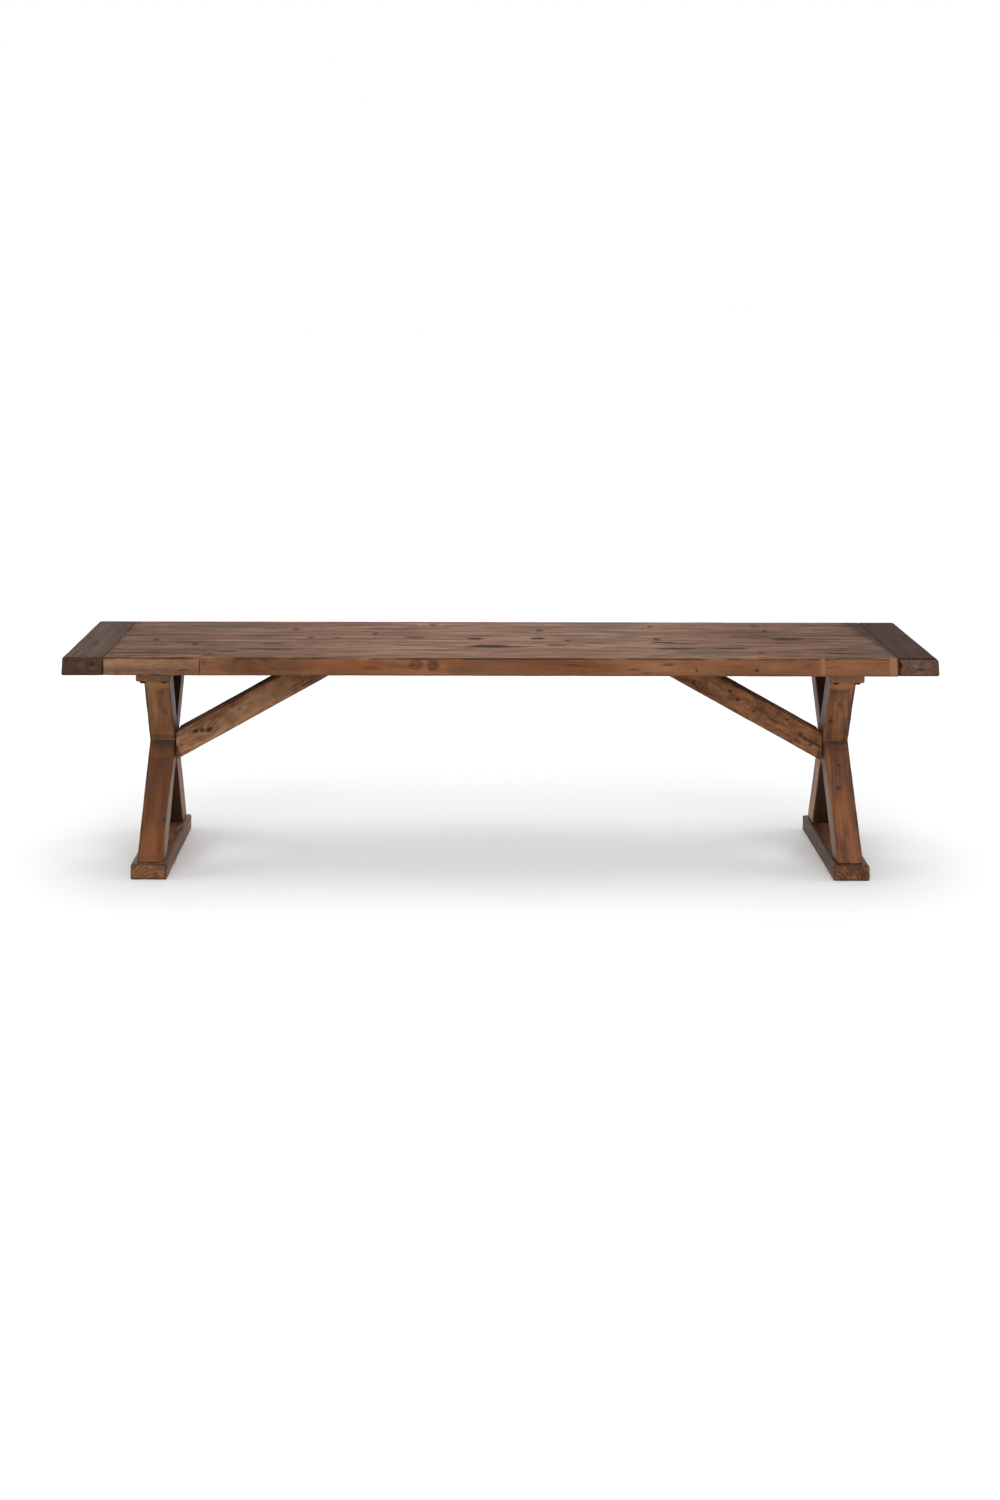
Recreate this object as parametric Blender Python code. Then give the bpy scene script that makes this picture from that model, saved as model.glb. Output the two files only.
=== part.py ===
"""Trestle dining bench in reclaimed pine.

Five tongued and grooved planks between two breadboard ends make the top. It stands on two X trestles, each of
two half-lapped legs between a crossbar and a foot rail. A slanting brace ties each trestle to the top.

Metres, +X along the bench, +Y towards its back, +Z up. The origin is on the floor under the bench's middle.
"""

import math

import bmesh
import bpy
from mathutils import Vector

# Whole bench
bench_length = 1.780
bench_depth = 0.360
bench_height = 0.457

# Fits: the gap between faces that touch, and how far a cutter stands out of what it cuts
seam = 0.0003
overrun = 0.004

# Top
top_thickness = 0.037
plank_count = 5
breadboard_width = 0.084
tongue_thickness = 0.010
tongue_length = 0.008
groove_spare = 0.001
tenon_thickness = 0.012
tenon_length = 0.046
tenon_shoulder = 0.015
tenon_root = 0.010
board_easing = 0.0035
seam_easing = 0.0010

# Finger joint in the front plank, which is glued up from a short and a long piece
splice_from_end = 0.280
finger_count = 6
finger_length = 0.014

# Trestles. A setback runs from the top's edge to a rail's end, and an overhang from there to the leg's face.
# The outset is how far the foot rail's middle stands outside the legs' middle.
trestle_inset = 0.177
crossbar_width = 0.072
crossbar_height = 0.024
crossbar_setback = 0.0455
crossbar_overhang = 0.0215
leg_width = 0.053
leg_depth = 0.043
foot_width = 0.0735
foot_height = 0.032
foot_outset = 0.0035
foot_setback = 0.0174
foot_overhang = 0.0096
foot_pad_length = 0.097
foot_relief = 0.007
leg_easing = 0.0020
foot_easing = 0.0030

# Braces: the reach runs from the trestle to the tip under the top
brace_width = 0.055
brace_depth = 0.0515
brace_reach = 0.390
brace_easing = 0.0018

# Flat-headed connector bolts, which hold each crossbar up to the top, and the threaded inserts that take them
bolt_spacing = 0.044
bolt_end_share = 0.45
bolt_head_radius = 0.0065
bolt_head_height = 0.0030
bolt_head_easing = 0.0006
bolt_shank_radius = 0.0030
bolt_depth_in_top = 0.015
insert_wall = 0.0020
insert_length = 0.018

# Countersunk wood screws
screw_head_radius = 0.0042
screw_rim = 0.0006
screw_cone = 0.0030
screw_shank_radius = 0.0021
screw_point = 0.0040
screw_sink = 0.0005
leg_screw_bite = 0.032
foot_counterbore = 0.009
lap_screw_rise = 0.020
lap_screw_bite = 0.020
brace_end_screw_bite = 0.030
brace_end_screw_shares = (0.38, 0.74)
brace_top_screw_bite = 0.022
brace_top_screw_covers = (0.022, 0.040)
brace_top_screw_length = 0.042

# Wooden pegs, driven from below, that lock the tenons in the breadboard ends
peg_radius = 0.0040
peg_easing = 0.0008
peg_cover = 0.008
peg_place_share = 0.5

# Sides of a round piece, and the angle from which its edges are drawn sharp
bolt_sides = 20
screw_sides = 12
sharp_from = math.radians(30)

# The bench's sides and ends, as signs of X and Y with their words
SIDES = ((-1, "left"), (1, "right"))
ENDS = ((-1, "front"), (1, "back"))

# Places worked out from the sizes above
top_underside = bench_height - top_thickness
top_middle = bench_height - top_thickness / 2
plank_width = (bench_depth - (plank_count - 1) * seam) / plank_count
plank_end = bench_length / 2 - breadboard_width - seam
trestle_x = bench_length / 2 - trestle_inset
crossbar_top = top_underside - seam
crossbar_underside = crossbar_top - crossbar_height
crossbar_length = bench_depth - 2 * crossbar_setback
foot_length = bench_depth - 2 * foot_setback
leg_top = crossbar_underside - seam
leg_foot = foot_height + seam

# A leg is a straight bar, so its lean follows from the pair's spread over the outer faces, its depth and rise
leg_spread_top = crossbar_length - 2 * crossbar_overhang
leg_spread_foot = foot_length - 2 * foot_overhang
leg_run = (leg_spread_top + leg_spread_foot) / 2
leg_rise = leg_top - leg_foot
leg_lean = math.acos(leg_depth / math.hypot(leg_run, leg_rise)) - math.atan2(leg_rise, leg_run)
leg_level_depth = leg_depth / math.cos(leg_lean)
crossing_z = leg_foot + (leg_spread_foot - leg_level_depth) / 2 / math.tan(leg_lean)
crossing_half_height = leg_level_depth / 2 / math.tan(leg_lean)

# The brace springs from the lower corner of the crossing
brace_x = trestle_x - leg_width / 2 - seam
brace_foot_z = crossing_z - crossing_half_height
brace_top_z = top_underside - seam
brace_slope = (brace_top_z - brace_foot_z) / brace_reach
brace_upright_depth = brace_depth * math.hypot(1, brace_slope)


def clear_scene():
    for thing in list(bpy.data.objects):
        bpy.data.objects.remove(thing, do_unlink=True)


def finish(name, srgb, roughness, metallic=0.0):
    """A Principled material whose colour is given as sRGB shares of 0 to 1."""
    made = bpy.data.materials.new(name)
    made.use_nodes = True
    shader = made.node_tree.nodes["Principled BSDF"]
    linear = [((part + 0.055) / 1.055) ** 2.4 for part in srgb]
    shader.inputs["Base Color"].default_value = (*linear, 1)
    shader.inputs["Roughness"].default_value = roughness
    shader.inputs["Metallic"].default_value = metallic
    made.diffuse_color = (*linear, 1)
    return made


def make_object(name, shape, material=None):
    """Turns a bmesh into a scene object. Without a material it is a hidden cutter."""
    bmesh.ops.recalc_face_normals(shape, faces=shape.faces)
    mesh = bpy.data.meshes.new(name)
    shape.to_mesh(mesh)
    shape.free()
    made = bpy.data.objects.new(name, mesh)
    bpy.context.scene.collection.objects.link(made)
    if material:
        mesh.materials.append(material)
    else:
        made.hide_render = True
        made.display_type = "WIRE"
    return made


def add_prism(shape, outline, axis, low, high):
    """Adds an outline drawn across an axis (0 is X, 1 is Y, 2 is Z), extruded along it from low to high."""
    across = [index for index in range(3) if index != axis]
    corners = []
    for first, second in outline:
        place = Vector()
        place[across[0]], place[across[1]], place[axis] = first, second, low
        corners.append(shape.verts.new(place))
    cap = shape.faces.new(corners)
    swept = bmesh.ops.extrude_face_region(shape, geom=[cap])["geom"]
    travel = Vector()
    travel[axis] = high - low
    moved = [item for item in swept if isinstance(item, bmesh.types.BMVert)]
    bmesh.ops.translate(shape, verts=moved, vec=travel)


def prism(outline, axis, low, high):
    shape = bmesh.new()
    add_prism(shape, outline, axis, low, high)
    return shape


def add_block(shape, low, high):
    outline = [(low[0], low[1]), (high[0], low[1]), (high[0], high[1]), (low[0], high[1])]
    add_prism(shape, outline, 2, low[2], high[2])


def turned_mesh(name, outline, sides):
    """The mesh of an outline of (radius, distance) points turned about Z."""
    shape = bmesh.new()
    corners = [shape.verts.new((radius, 0, along)) for radius, along in outline]
    hollow = outline[0][0] > 0
    ends = corners[1:] + corners[:1] if hollow else corners[1:]
    edges = [shape.edges.new(pair) for pair in zip(corners, ends)]
    bmesh.ops.spin(shape, geom=corners + edges, axis=(0, 0, 1), cent=(0, 0, 0), angle=math.tau, steps=sides,
                   use_merge=True)
    bmesh.ops.remove_doubles(shape, verts=shape.verts, dist=seam / 10)
    bmesh.ops.recalc_face_normals(shape, faces=shape.faces)
    mesh = bpy.data.meshes.new(name)
    shape.to_mesh(mesh)
    shape.free()
    return mesh


def turn_towards(direction):
    """The rotation that brings a piece's own +Z to a direction."""
    return Vector(direction).to_track_quat("Z", "Y")


def place_fasteners(kind, outline, sides, spots, material):
    """One object for each name in spots, all of one mesh; a spot is (place, direction from head to point)."""
    mesh = turned_mesh(kind, outline, sides)
    mesh.materials.append(material)
    mesh.shade_smooth()
    mesh.set_sharp_from_angle(angle=sharp_from)
    for name, (place, direction) in spots.items():
        made = bpy.data.objects.new(name, mesh)
        made.location = place
        made.rotation_mode = "QUATERNION"
        made.rotation_quaternion = turn_towards(direction)
        bpy.context.scene.collection.objects.link(made)


def hole_cutter(kind, outline, sides, spots):
    """One hidden cutter that holds the hole of every fastener of a kind."""
    one = turned_mesh(kind, outline, sides)
    shape = bmesh.new()
    for place, direction in spots.values():
        before = len(shape.verts)
        shape.from_mesh(one)
        fresh = list(shape.verts)[before:]
        bmesh.ops.transform(shape, verts=fresh, matrix=turn_towards(direction).to_matrix().to_4x4())
        bmesh.ops.translate(shape, verts=fresh, vec=place)
    bpy.data.meshes.remove(one)
    return make_object(kind, shape)


def ease_edges(piece, radius_of):
    """Rounds each edge by the radius that radius_of gives for its two ends, through bevel weights."""
    shape = bmesh.new()
    shape.from_mesh(piece.data)
    radii = [radius_of(*(end.co for end in edge.verts)) for edge in shape.edges]
    largest = max(radii)
    weights = shape.edges.layers.float.new("bevel_weight_edge")
    for edge, radius in zip(shape.edges, radii):
        edge[weights] = radius / largest
    shape.to_mesh(piece.data)
    shape.free()
    bevel = piece.modifiers.new("Eased edges", "BEVEL")
    bevel.limit_method = "WEIGHT"
    bevel.width = largest
    bevel.segments = 2


def combine(piece, other, operation="DIFFERENCE"):
    boolean = piece.modifiers.new(other.name, "BOOLEAN")
    boolean.operation = operation
    boolean.solver = "EXACT"
    boolean.object = other


def same(first, second):
    return math.isclose(first, second, abs_tol=seam / 10)


def screw_outline(length, clearance=0.0, mouth=0.0):
    """A countersunk screw from its face to its point. With a clearance it is the hole for it."""
    head = screw_head_radius + clearance
    shank = screw_shank_radius + clearance
    neck = screw_rim + screw_cone + clearance
    outline = [(0, -mouth), (head, -mouth), (head, screw_rim + clearance), (shank, neck)]
    if clearance:
        return outline + [(shank, length + clearance), (0, length + clearance)]
    return outline + [(shank, length - screw_point), (0, length)]


def screws_and_holes(kind, length, spots, mouth, material):
    """Makes a group of like screws, and returns the cutter of their holes."""
    place_fasteners(kind, screw_outline(length), screw_sides, spots, material)
    return hole_cutter(kind + "_holes", screw_outline(length, seam, mouth), screw_sides, spots)


def bolt_spots(kind, height):
    """Where the connector bolts stand: two side by side at each end of each crossbar."""
    spots = {}
    for side, side_word in SIDES:
        for end, end_word in ENDS:
            for across, across_word in ((-1, "inner"), (1, "outer")):
                x = side * (trestle_x + across * bolt_spacing / 2)
                y = end * (crossbar_length / 2 - bolt_end_share * crossbar_overhang)
                spots[f"{side_word}_{kind}_{end_word}_{across_word}"] = ((x, y, height), (0, 0, 1))
    return spots


def connector_bolts(material):
    """The black bolts under both crossbars, and the cutter of their holes."""
    spots = bolt_spots("bolt", crossbar_underside - seam - bolt_head_height)
    head, shank, ease = bolt_head_radius, bolt_shank_radius, bolt_head_easing
    tip = bolt_head_height + seam + crossbar_height + seam + bolt_depth_in_top
    outline = [(0, 0), (head - ease, 0), (head, ease), (head, bolt_head_height), (shank, bolt_head_height),
               (shank, tip - ease), (shank - ease, tip), (0, tip)]
    place_fasteners("connector_bolts", outline, bolt_sides, spots, material)
    hole = shank + seam
    drilled = [(0, bolt_head_height - overrun), (hole, bolt_head_height - overrun), (hole, tip), (0, tip)]
    return hole_cutter("bolt_holes", drilled, bolt_sides, spots)


def threaded_inserts(material):
    """The sleeves in the top's underside that the connector bolts screw into, and their holes' cutter."""
    spots = bolt_spots("insert", top_underside)
    inner = bolt_shank_radius + seam
    outer = inner + insert_wall
    sleeve = [(inner, 0), (outer, 0), (outer, insert_length), (inner, insert_length)]
    place_fasteners("threaded_inserts", sleeve, bolt_sides, spots, material)
    hole, depth = outer + seam, insert_length + seam
    drilled = [(0, -overrun), (hole, -overrun), (hole, depth), (0, depth)]
    return hole_cutter("insert_holes", drilled, bolt_sides, spots)


def leg_screws(material):
    """A screw down through the crossbar into each leg's top, and one up through the foot rail into it."""
    spots = {}
    drift = leg_screw_bite / 2 * math.tan(leg_lean)
    top_y = (leg_spread_top - leg_level_depth) / 2 - drift
    foot_y = (leg_spread_foot - leg_level_depth) / 2 - drift
    for side, side_word in SIDES:
        for end, end_word in ENDS:
            top_place = (side * trestle_x, end * top_y, crossbar_top - screw_sink)
            foot_place = (side * trestle_x, end * foot_y, foot_counterbore)
            spots[f"{side_word}_leg_top_screw_{end_word}"] = (top_place, (0, 0, -1))
            spots[f"{side_word}_leg_foot_screw_{end_word}"] = (foot_place, (0, 0, 1))
    length = foot_height - foot_counterbore + leg_screw_bite
    return screws_and_holes("leg_screws", length, spots, foot_counterbore + overrun, material)


def lap_screws(material):
    """One screw through each crossing, from its outer face."""
    outer = trestle_x + leg_width / 2 - screw_sink
    spots = {}
    for side, word in SIDES:
        spots[f"{word}_lap_screw"] = ((side * outer, 0, crossing_z + lap_screw_rise), (-side, 0, 0))
    return screws_and_holes("lap_screws", leg_width / 2 + lap_screw_bite, spots, overrun, material)


def brace_end_screws(material):
    """Two long screws from each crossing's outer face into the brace's end."""
    outer = trestle_x + leg_width / 2 - screw_sink
    spots = {}
    for side, word in SIDES:
        for share, level in zip(brace_end_screw_shares, ("lower", "upper")):
            place = (side * outer, 0, brace_foot_z + share * brace_upright_depth)
            spots[f"{word}_brace_end_screw_{level}"] = (place, (-side, 0, 0))
    return screws_and_holes("brace_end_screws", leg_width + brace_end_screw_bite, spots, overrun, material)


def brace_top_screws(material):
    """Two screws up through each brace's tapered end, where it is as thick as each cover, into the top."""
    spots = {}
    head_z = top_underside + brace_top_screw_bite - brace_top_screw_length
    for side, word in SIDES:
        for cover, place_word in zip(brace_top_screw_covers, ("tip", "shoulder")):
            x = side * (brace_x - brace_reach + cover / brace_slope)
            spots[f"{word}_brace_top_screw_{place_word}"] = ((x, 0, head_z), (0, 0, 1))
    return screws_and_holes("brace_top_screws", brace_top_screw_length, spots, brace_upright_depth, material)


def breadboard_pegs(material):
    """Pegs through the outer and the middle tenons, from the underside of each breadboard end."""
    spots = {}
    x = plank_end + seam + peg_place_share * tenon_length
    pegged = {0: "front", plank_count // 2: "middle", plank_count - 1: "back"}
    for side, side_word in SIDES:
        for index, place_word in pegged.items():
            y = plank_front(index) + plank_width / 2
            spots[f"{side_word}_breadboard_peg_{place_word}"] = ((side * x, y, top_underside), (0, 0, 1))
    length = top_thickness - peg_cover
    outline = [(0, 0), (peg_radius, 0), (peg_radius, length - peg_easing), (peg_radius - peg_easing, length),
               (0, length)]
    place_fasteners("breadboard_pegs", outline, bolt_sides, spots, material)
    hole = peg_radius + seam
    drilled = [(0, -overrun), (hole, -overrun), (hole, length + seam), (0, length + seam)]
    return hole_cutter("peg_holes", drilled, bolt_sides, spots)


def plank_front(index):
    """The Y of a plank's front face; plank 0 is the front one."""
    return -bench_depth / 2 + index * (plank_width + seam)


def plank_outline(index):
    """A plank's section, with a groove at its front and a tongue at its back, but none on the outer edges."""
    front, back = plank_front(index), plank_front(index) + plank_width
    outline = [(front, top_underside), (back, top_underside)]
    if index < plank_count - 1:
        low, high = top_middle - tongue_thickness / 2, top_middle + tongue_thickness / 2
        outline += [(back, low), (back + tongue_length, low), (back + tongue_length, high), (back, high)]
    outline += [(back, bench_height), (front, bench_height)]
    if index > 0:
        half = tongue_thickness / 2 + seam
        root = front + tongue_length - seam + groove_spare
        outline += [(front, top_middle + half), (root, top_middle + half), (root, top_middle - half),
                    (front, top_middle - half)]
    return outline


def plank_easing(start, end):
    """The bench's outer edges are rounded, and a plank's other top and bottom edges lose their arris."""
    flat = any(same(start.z, level) and same(end.z, level) for level in (bench_height, top_underside))
    if not flat:
        return 0.0
    outer = all(same(abs(point.y), bench_depth / 2) for point in (start, end))
    return board_easing if outer else seam_easing


def add_tenon(shape, index, side, growth=0.0):
    """A plank's tenon at one end, or with growth the mortise for it."""
    front = plank_front(index) + tenon_shoulder - growth
    back = plank_front(index) + plank_width - tenon_shoulder + growth
    half = tenon_thickness / 2 + growth
    root, tip = plank_end - tenon_root, plank_end + tenon_length + growth
    low_x, high_x = sorted((side * root, side * tip))
    add_block(shape, (low_x, front, top_middle - half), (high_x, back, top_middle + half))


def finger_cutter(name, keep):
    """Cuts the front plank at the finger joint. keep is -1 for the short piece and 1 for the long one."""
    half_pitch = plank_width / finger_count / 2
    middle = -bench_length / 2 + splice_from_end
    shift = seam / 2 * math.hypot(finger_length, half_pitch) / half_pitch
    outline = []
    for step in range(-2, 2 * finger_count + 3):
        swing = finger_length / 2 if step % 2 else -finger_length / 2
        outline.append((middle + swing + keep * shift, plank_front(0) + step * half_pitch))
    far = -keep * (bench_length / 2 + overrun)
    outline += [(far, outline[-1][1]), (far, outline[0][1])]
    return make_object(name, prism(outline, 2, top_underside - overrun, bench_height + overrun))


def make_planks(material, drills):
    """The planks, with their tenons and every hole that reaches them. The front one is two pieces."""
    for index in range(plank_count):
        names = {f"seat_plank_{index + 1}": 0}
        if index == 0:
            names = {"seat_plank_1_short": -1, "seat_plank_1_long": 1}
        for name, part_of in names.items():
            shape = prism(plank_outline(index), 0, -plank_end, plank_end)
            plank = make_object(name, shape, material(name))
            ease_edges(plank, plank_easing)
            tenons = bmesh.new()
            for side in (-1, 1):
                add_tenon(tenons, index, side)
            combine(plank, make_object(name + "_tenons", tenons), "UNION")
            if part_of:
                combine(plank, finger_cutter(name + "_end", part_of))
            for drill in drills:
                combine(plank, drill)


def board_end_easing(start, end):
    """A breadboard end's edges are rounded, apart from those of its inner face, which lose their arris."""
    inner = bench_length / 2 - breadboard_width
    return seam_easing if any(same(abs(point.x), inner) for point in (start, end)) else board_easing


def make_breadboard_ends(material, pegs):
    for side, word in SIDES:
        name = f"{word}_breadboard_end"
        low_x, high_x = sorted((side * (bench_length / 2 - breadboard_width), side * bench_length / 2))
        shape = bmesh.new()
        add_block(shape, (low_x, -bench_depth / 2, top_underside), (high_x, bench_depth / 2, bench_height))
        board = make_object(name, shape, material(name))
        ease_edges(board, board_end_easing)
        mortises = bmesh.new()
        for index in range(plank_count):
            add_tenon(mortises, index, side, seam)
        combine(board, make_object(name + "_mortises", mortises))
        combine(board, pegs)


def leg_outline(rise_to, growth=0.0):
    """A leg's side view in Y and Z. rise_to is 1 where it rises to the back and -1 to the front."""
    spare = growth / math.cos(leg_lean)
    foot_outer, foot_inner = leg_spread_foot / 2 + spare, leg_spread_foot / 2 - leg_level_depth - spare
    top_outer, top_inner = leg_spread_top / 2 + spare, leg_spread_top / 2 - leg_level_depth - spare
    return [(-rise_to * foot_outer, leg_foot), (-rise_to * foot_inner, leg_foot),
            (rise_to * top_outer, leg_top), (rise_to * top_inner, leg_top)]


def leg_edge_easing(start, end):
    """The long edges are rounded; the sawn ends stay sharp where they butt."""
    return 0.0 if same(start.z, end.z) else leg_easing


def make_legs(side, word, material, drills):
    """Two legs that cross. Each loses half of its width at the crossing, where it takes the other one in."""
    inner, outer = trestle_x - leg_width / 2, trestle_x + leg_width / 2
    lap = {1: (inner - overrun, trestle_x + seam / 2), -1: (trestle_x - seam / 2, outer + overrun)}
    for rise_to, end_word in ((1, "back"), (-1, "front")):
        name = f"{word}_leg_rising_to_{end_word}"
        span = sorted((side * inner, side * outer))
        leg = make_object(name, prism(leg_outline(rise_to), 0, *span), material(name))
        ease_edges(leg, leg_edge_easing)
        notch_span = sorted(side * edge for edge in lap[rise_to])
        notch = prism(leg_outline(-rise_to, seam), 0, *notch_span)
        combine(leg, make_object(name + "_lap", notch))
        for drill in drills:
            combine(leg, drill)


def foot_outline():
    """A foot rail's side view: it stands on a pad at each end, with a relief between them."""
    half, pad = foot_length / 2, foot_length / 2 - foot_pad_length
    slant = pad - foot_relief
    return [(-half, 0), (-pad, 0), (-slant, foot_relief), (slant, foot_relief), (pad, 0), (half, 0),
            (half, foot_height), (-half, foot_height)]


def foot_edge_easing(start, end):
    """The rail's outside is rounded; the relief under it is left as it was sawn."""
    reach = foot_length / 2 - foot_pad_length
    in_relief = all(abs(point.y) < reach + seam and point.z < foot_height - seam for point in (start, end))
    at_floor = same(start.z, 0) and same(end.z, 0)
    if in_relief:
        return 0.0
    return seam_easing if at_floor else foot_easing


def make_foot(side, word, material, drills):
    name = f"{word}_foot_rail"
    middle = side * (trestle_x + foot_outset)
    shape = prism(foot_outline(), 0, middle - foot_width / 2, middle + foot_width / 2)
    foot = make_object(name, shape, material(name))
    ease_edges(foot, foot_edge_easing)
    for drill in drills:
        combine(foot, drill)


def make_crossbar(side, word, material, drills):
    name = f"{word}_crossbar"
    shape = bmesh.new()
    middle = side * trestle_x
    low = (middle - crossbar_width / 2, -crossbar_length / 2, crossbar_underside)
    high = (middle + crossbar_width / 2, crossbar_length / 2, crossbar_top)
    add_block(shape, low, high)
    crossbar = make_object(name, shape, material(name))
    ease_edges(crossbar, lambda start, end: leg_easing)
    for drill in drills:
        combine(crossbar, drill)


def brace_outline(side):
    """A brace in X and Z: an upright cut against the crossing and a level cut under the top."""
    upper_z = brace_foot_z + brace_upright_depth
    tip = brace_x - brace_reach
    shoulder = brace_x - (brace_top_z - upper_z) / brace_slope
    corners = [(brace_x, brace_foot_z), (brace_x, upper_z), (shoulder, brace_top_z), (tip, brace_top_z)]
    return [(side * x, z) for x, z in corners]


def brace_edge_easing(start, end):
    """The brace's four long edges are rounded."""
    level = same(start.z, end.z)
    upright = same(start.x, end.x)
    return 0.0 if level or upright else brace_easing


def make_brace(side, word, material, drills):
    name = f"{word}_brace"
    shape = prism(brace_outline(side), 1, -brace_width / 2, brace_width / 2)
    brace = make_object(name, shape, material(name))
    ease_edges(brace, brace_edge_easing)
    for drill in drills:
        combine(brace, drill)


def main():
    clear_scene()
    wood_rough = 0.62
    plank_brown = (0.50, 0.37, 0.30)
    end_brown = (0.37, 0.31, 0.28)
    leg_brown = (0.47, 0.32, 0.22)
    foot_brown = (0.44, 0.31, 0.22)
    brace_brown = (0.46, 0.33, 0.24)

    def wood(colour):
        return lambda name: finish(name + "_pine", colour, wood_rough)

    bolt_holes = connector_bolts(finish("black_steel", (0.06, 0.06, 0.06), 0.45, 1.0))
    insert_holes = threaded_inserts(finish("zinc_steel", (0.62, 0.62, 0.60), 0.40, 1.0))
    screw_steel = finish("yellow_zinc_steel", (0.60, 0.53, 0.38), 0.40, 1.0)
    leg_screw_holes = leg_screws(screw_steel)
    lap_screw_holes = lap_screws(screw_steel)
    brace_end_holes = brace_end_screws(screw_steel)
    brace_top_holes = brace_top_screws(screw_steel)
    peg_holes = breadboard_pegs(finish("peg_beech", (0.55, 0.42, 0.31), wood_rough))

    make_planks(wood(plank_brown), [peg_holes, insert_holes, brace_top_holes])
    make_breadboard_ends(wood(end_brown), peg_holes)
    for side, word in SIDES:
        make_crossbar(side, word, wood(leg_brown), [bolt_holes, leg_screw_holes])
        make_legs(side, word, wood(leg_brown), [leg_screw_holes, lap_screw_holes, brace_end_holes])
        make_foot(side, word, wood(foot_brown), [leg_screw_holes])
        make_brace(side, word, wood(brace_brown), [brace_end_holes, brace_top_holes])


main()
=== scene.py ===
"""The looks of a trestle dining bench in reclaimed pine, with its floor, lamps and camera.

Each wooden piece is a bar between the corners of its solid. It gets rounded edges, is weathered by one
Geometry Nodes tree, and is then cut by its laps, screw pockets, checks and nail holes. Its pine is solid:
growth rings, knots and streaks run through the bar in the bar's own directions, so that faces and ends agree.

Metres, +X along the bench, +Y towards its back, +Z up.
"""

import itertools
import math
import random
from dataclasses import dataclass, field, replace

import bmesh
import bpy
import numpy as np
from bpy.props import FloatProperty, FloatVectorProperty, PointerProperty
from mathutils import Matrix, Vector


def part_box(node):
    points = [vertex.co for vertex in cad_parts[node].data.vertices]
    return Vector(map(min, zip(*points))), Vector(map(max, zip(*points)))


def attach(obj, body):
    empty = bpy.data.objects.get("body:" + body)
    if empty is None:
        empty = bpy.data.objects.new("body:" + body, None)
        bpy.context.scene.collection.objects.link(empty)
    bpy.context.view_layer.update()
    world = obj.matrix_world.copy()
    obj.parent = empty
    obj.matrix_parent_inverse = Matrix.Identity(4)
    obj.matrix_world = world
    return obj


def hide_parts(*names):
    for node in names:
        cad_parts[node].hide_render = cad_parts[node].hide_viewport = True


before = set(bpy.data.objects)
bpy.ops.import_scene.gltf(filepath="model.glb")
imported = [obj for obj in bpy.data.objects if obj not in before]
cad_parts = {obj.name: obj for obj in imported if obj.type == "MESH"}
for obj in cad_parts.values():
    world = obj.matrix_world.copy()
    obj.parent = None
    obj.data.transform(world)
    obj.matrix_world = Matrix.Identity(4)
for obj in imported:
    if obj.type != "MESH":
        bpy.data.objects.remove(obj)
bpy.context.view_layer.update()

bl_info = {
    "name": "Reclaimed Pine Bench",
    "version": (1, 0, 0),
    "blender": (4, 5, 0),
    "location": "3D View > Sidebar > Bench",
    "description": "Dresses the bench's solids in worn, stained pine and iron",
    "category": "Object",
}

# The photograph's frame in pixels, and where its optical axis meets it
PHOTO_WIDTH = 1000
PHOTO_HEIGHT = 1500
AXIS_PIXEL = (463.4, 271.5)
FOCAL_PIXELS = 1699.5

# The camera's sensor in millimetres, and half of the floor's side
SENSOR_WIDTH = 36.0
FLOOR_HALF_SIZE = 30.0

# How finely bars are meshed
ARC_STEPS = 5
CAP_SHARES = (0.25, 0.5, 0.75)
SHARP_ANGLE = math.radians(38)

# The axes of a mark's length, its width and its face's outward side: 0 is along the bar, 1 across, 2 through
MARK_AXES = {"through": (0, 1, 2), "side": (0, 2, 1), "end": (1, 2, 0)}

# How much smaller a check's own spread counts, so that the stain soaks in beside it
CHECK_SOAK = 0.12

# The bench's sides, as signs of X with their words, and the other words in its pieces' names
SIDES = ((-1, "left"), (1, "right"))
LEFT_RIGHT = ("left", "right")
FRONT_BACK = ("front", "back")
PEG_PLACES = ("front", "middle", "back")
BRACE_SCREW_PLACES = ("tip", "shoulder")
BRACE_SCREW_LEVELS = ("lower", "upper")

# How the bars' seeds begin, piece by piece
SEEDS = {"breadboard_end": 31, "crossbar": 41, "leg": 51, "foot_rail": 61, "brace": 71}

# How near a corner lies to a face that it belongs to
ON_FACE = 2e-5


def each(*parts):
    """All the names made of one word from each part. A part is one word or several."""
    choices = [(part,) if isinstance(part, str) else part for part in parts]
    return ["_".join(words) for words in itertools.product(*choices)]


def linear(red, green, blue):
    """A colour given as sRGB from 0 to 255, as the scene's linear shares."""
    shares = [part / 255 for part in (red, green, blue)]
    return tuple(share / 12.92 if share <= 0.04045 else ((share + 0.055) / 1.055) ** 2.4 for share in shares)


def length(name, default, about):
    return FloatProperty(name=name, description=about, default=default, min=0.0, precision=5, unit="LENGTH")


def ratio(name, default, about):
    return FloatProperty(name=name, description=about, default=default, min=0.0, max=1.0)


def degrees(name, default, about):
    return FloatProperty(name=name, description=about, default=math.radians(default), subtype="ANGLE")


def colour(name, srgb, about):
    return FloatVectorProperty(name=name, description=about, default=linear(*srgb), size=3, min=0.0, max=1.0,
                               subtype="COLOR")


def times(shade, *factors):
    """A colour multiplied by one factor, or by one each for red, green and blue."""
    return tuple(min(1.0, part * by) for part, by in zip(shade, factors if len(factors) > 1 else factors * 3))


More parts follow.
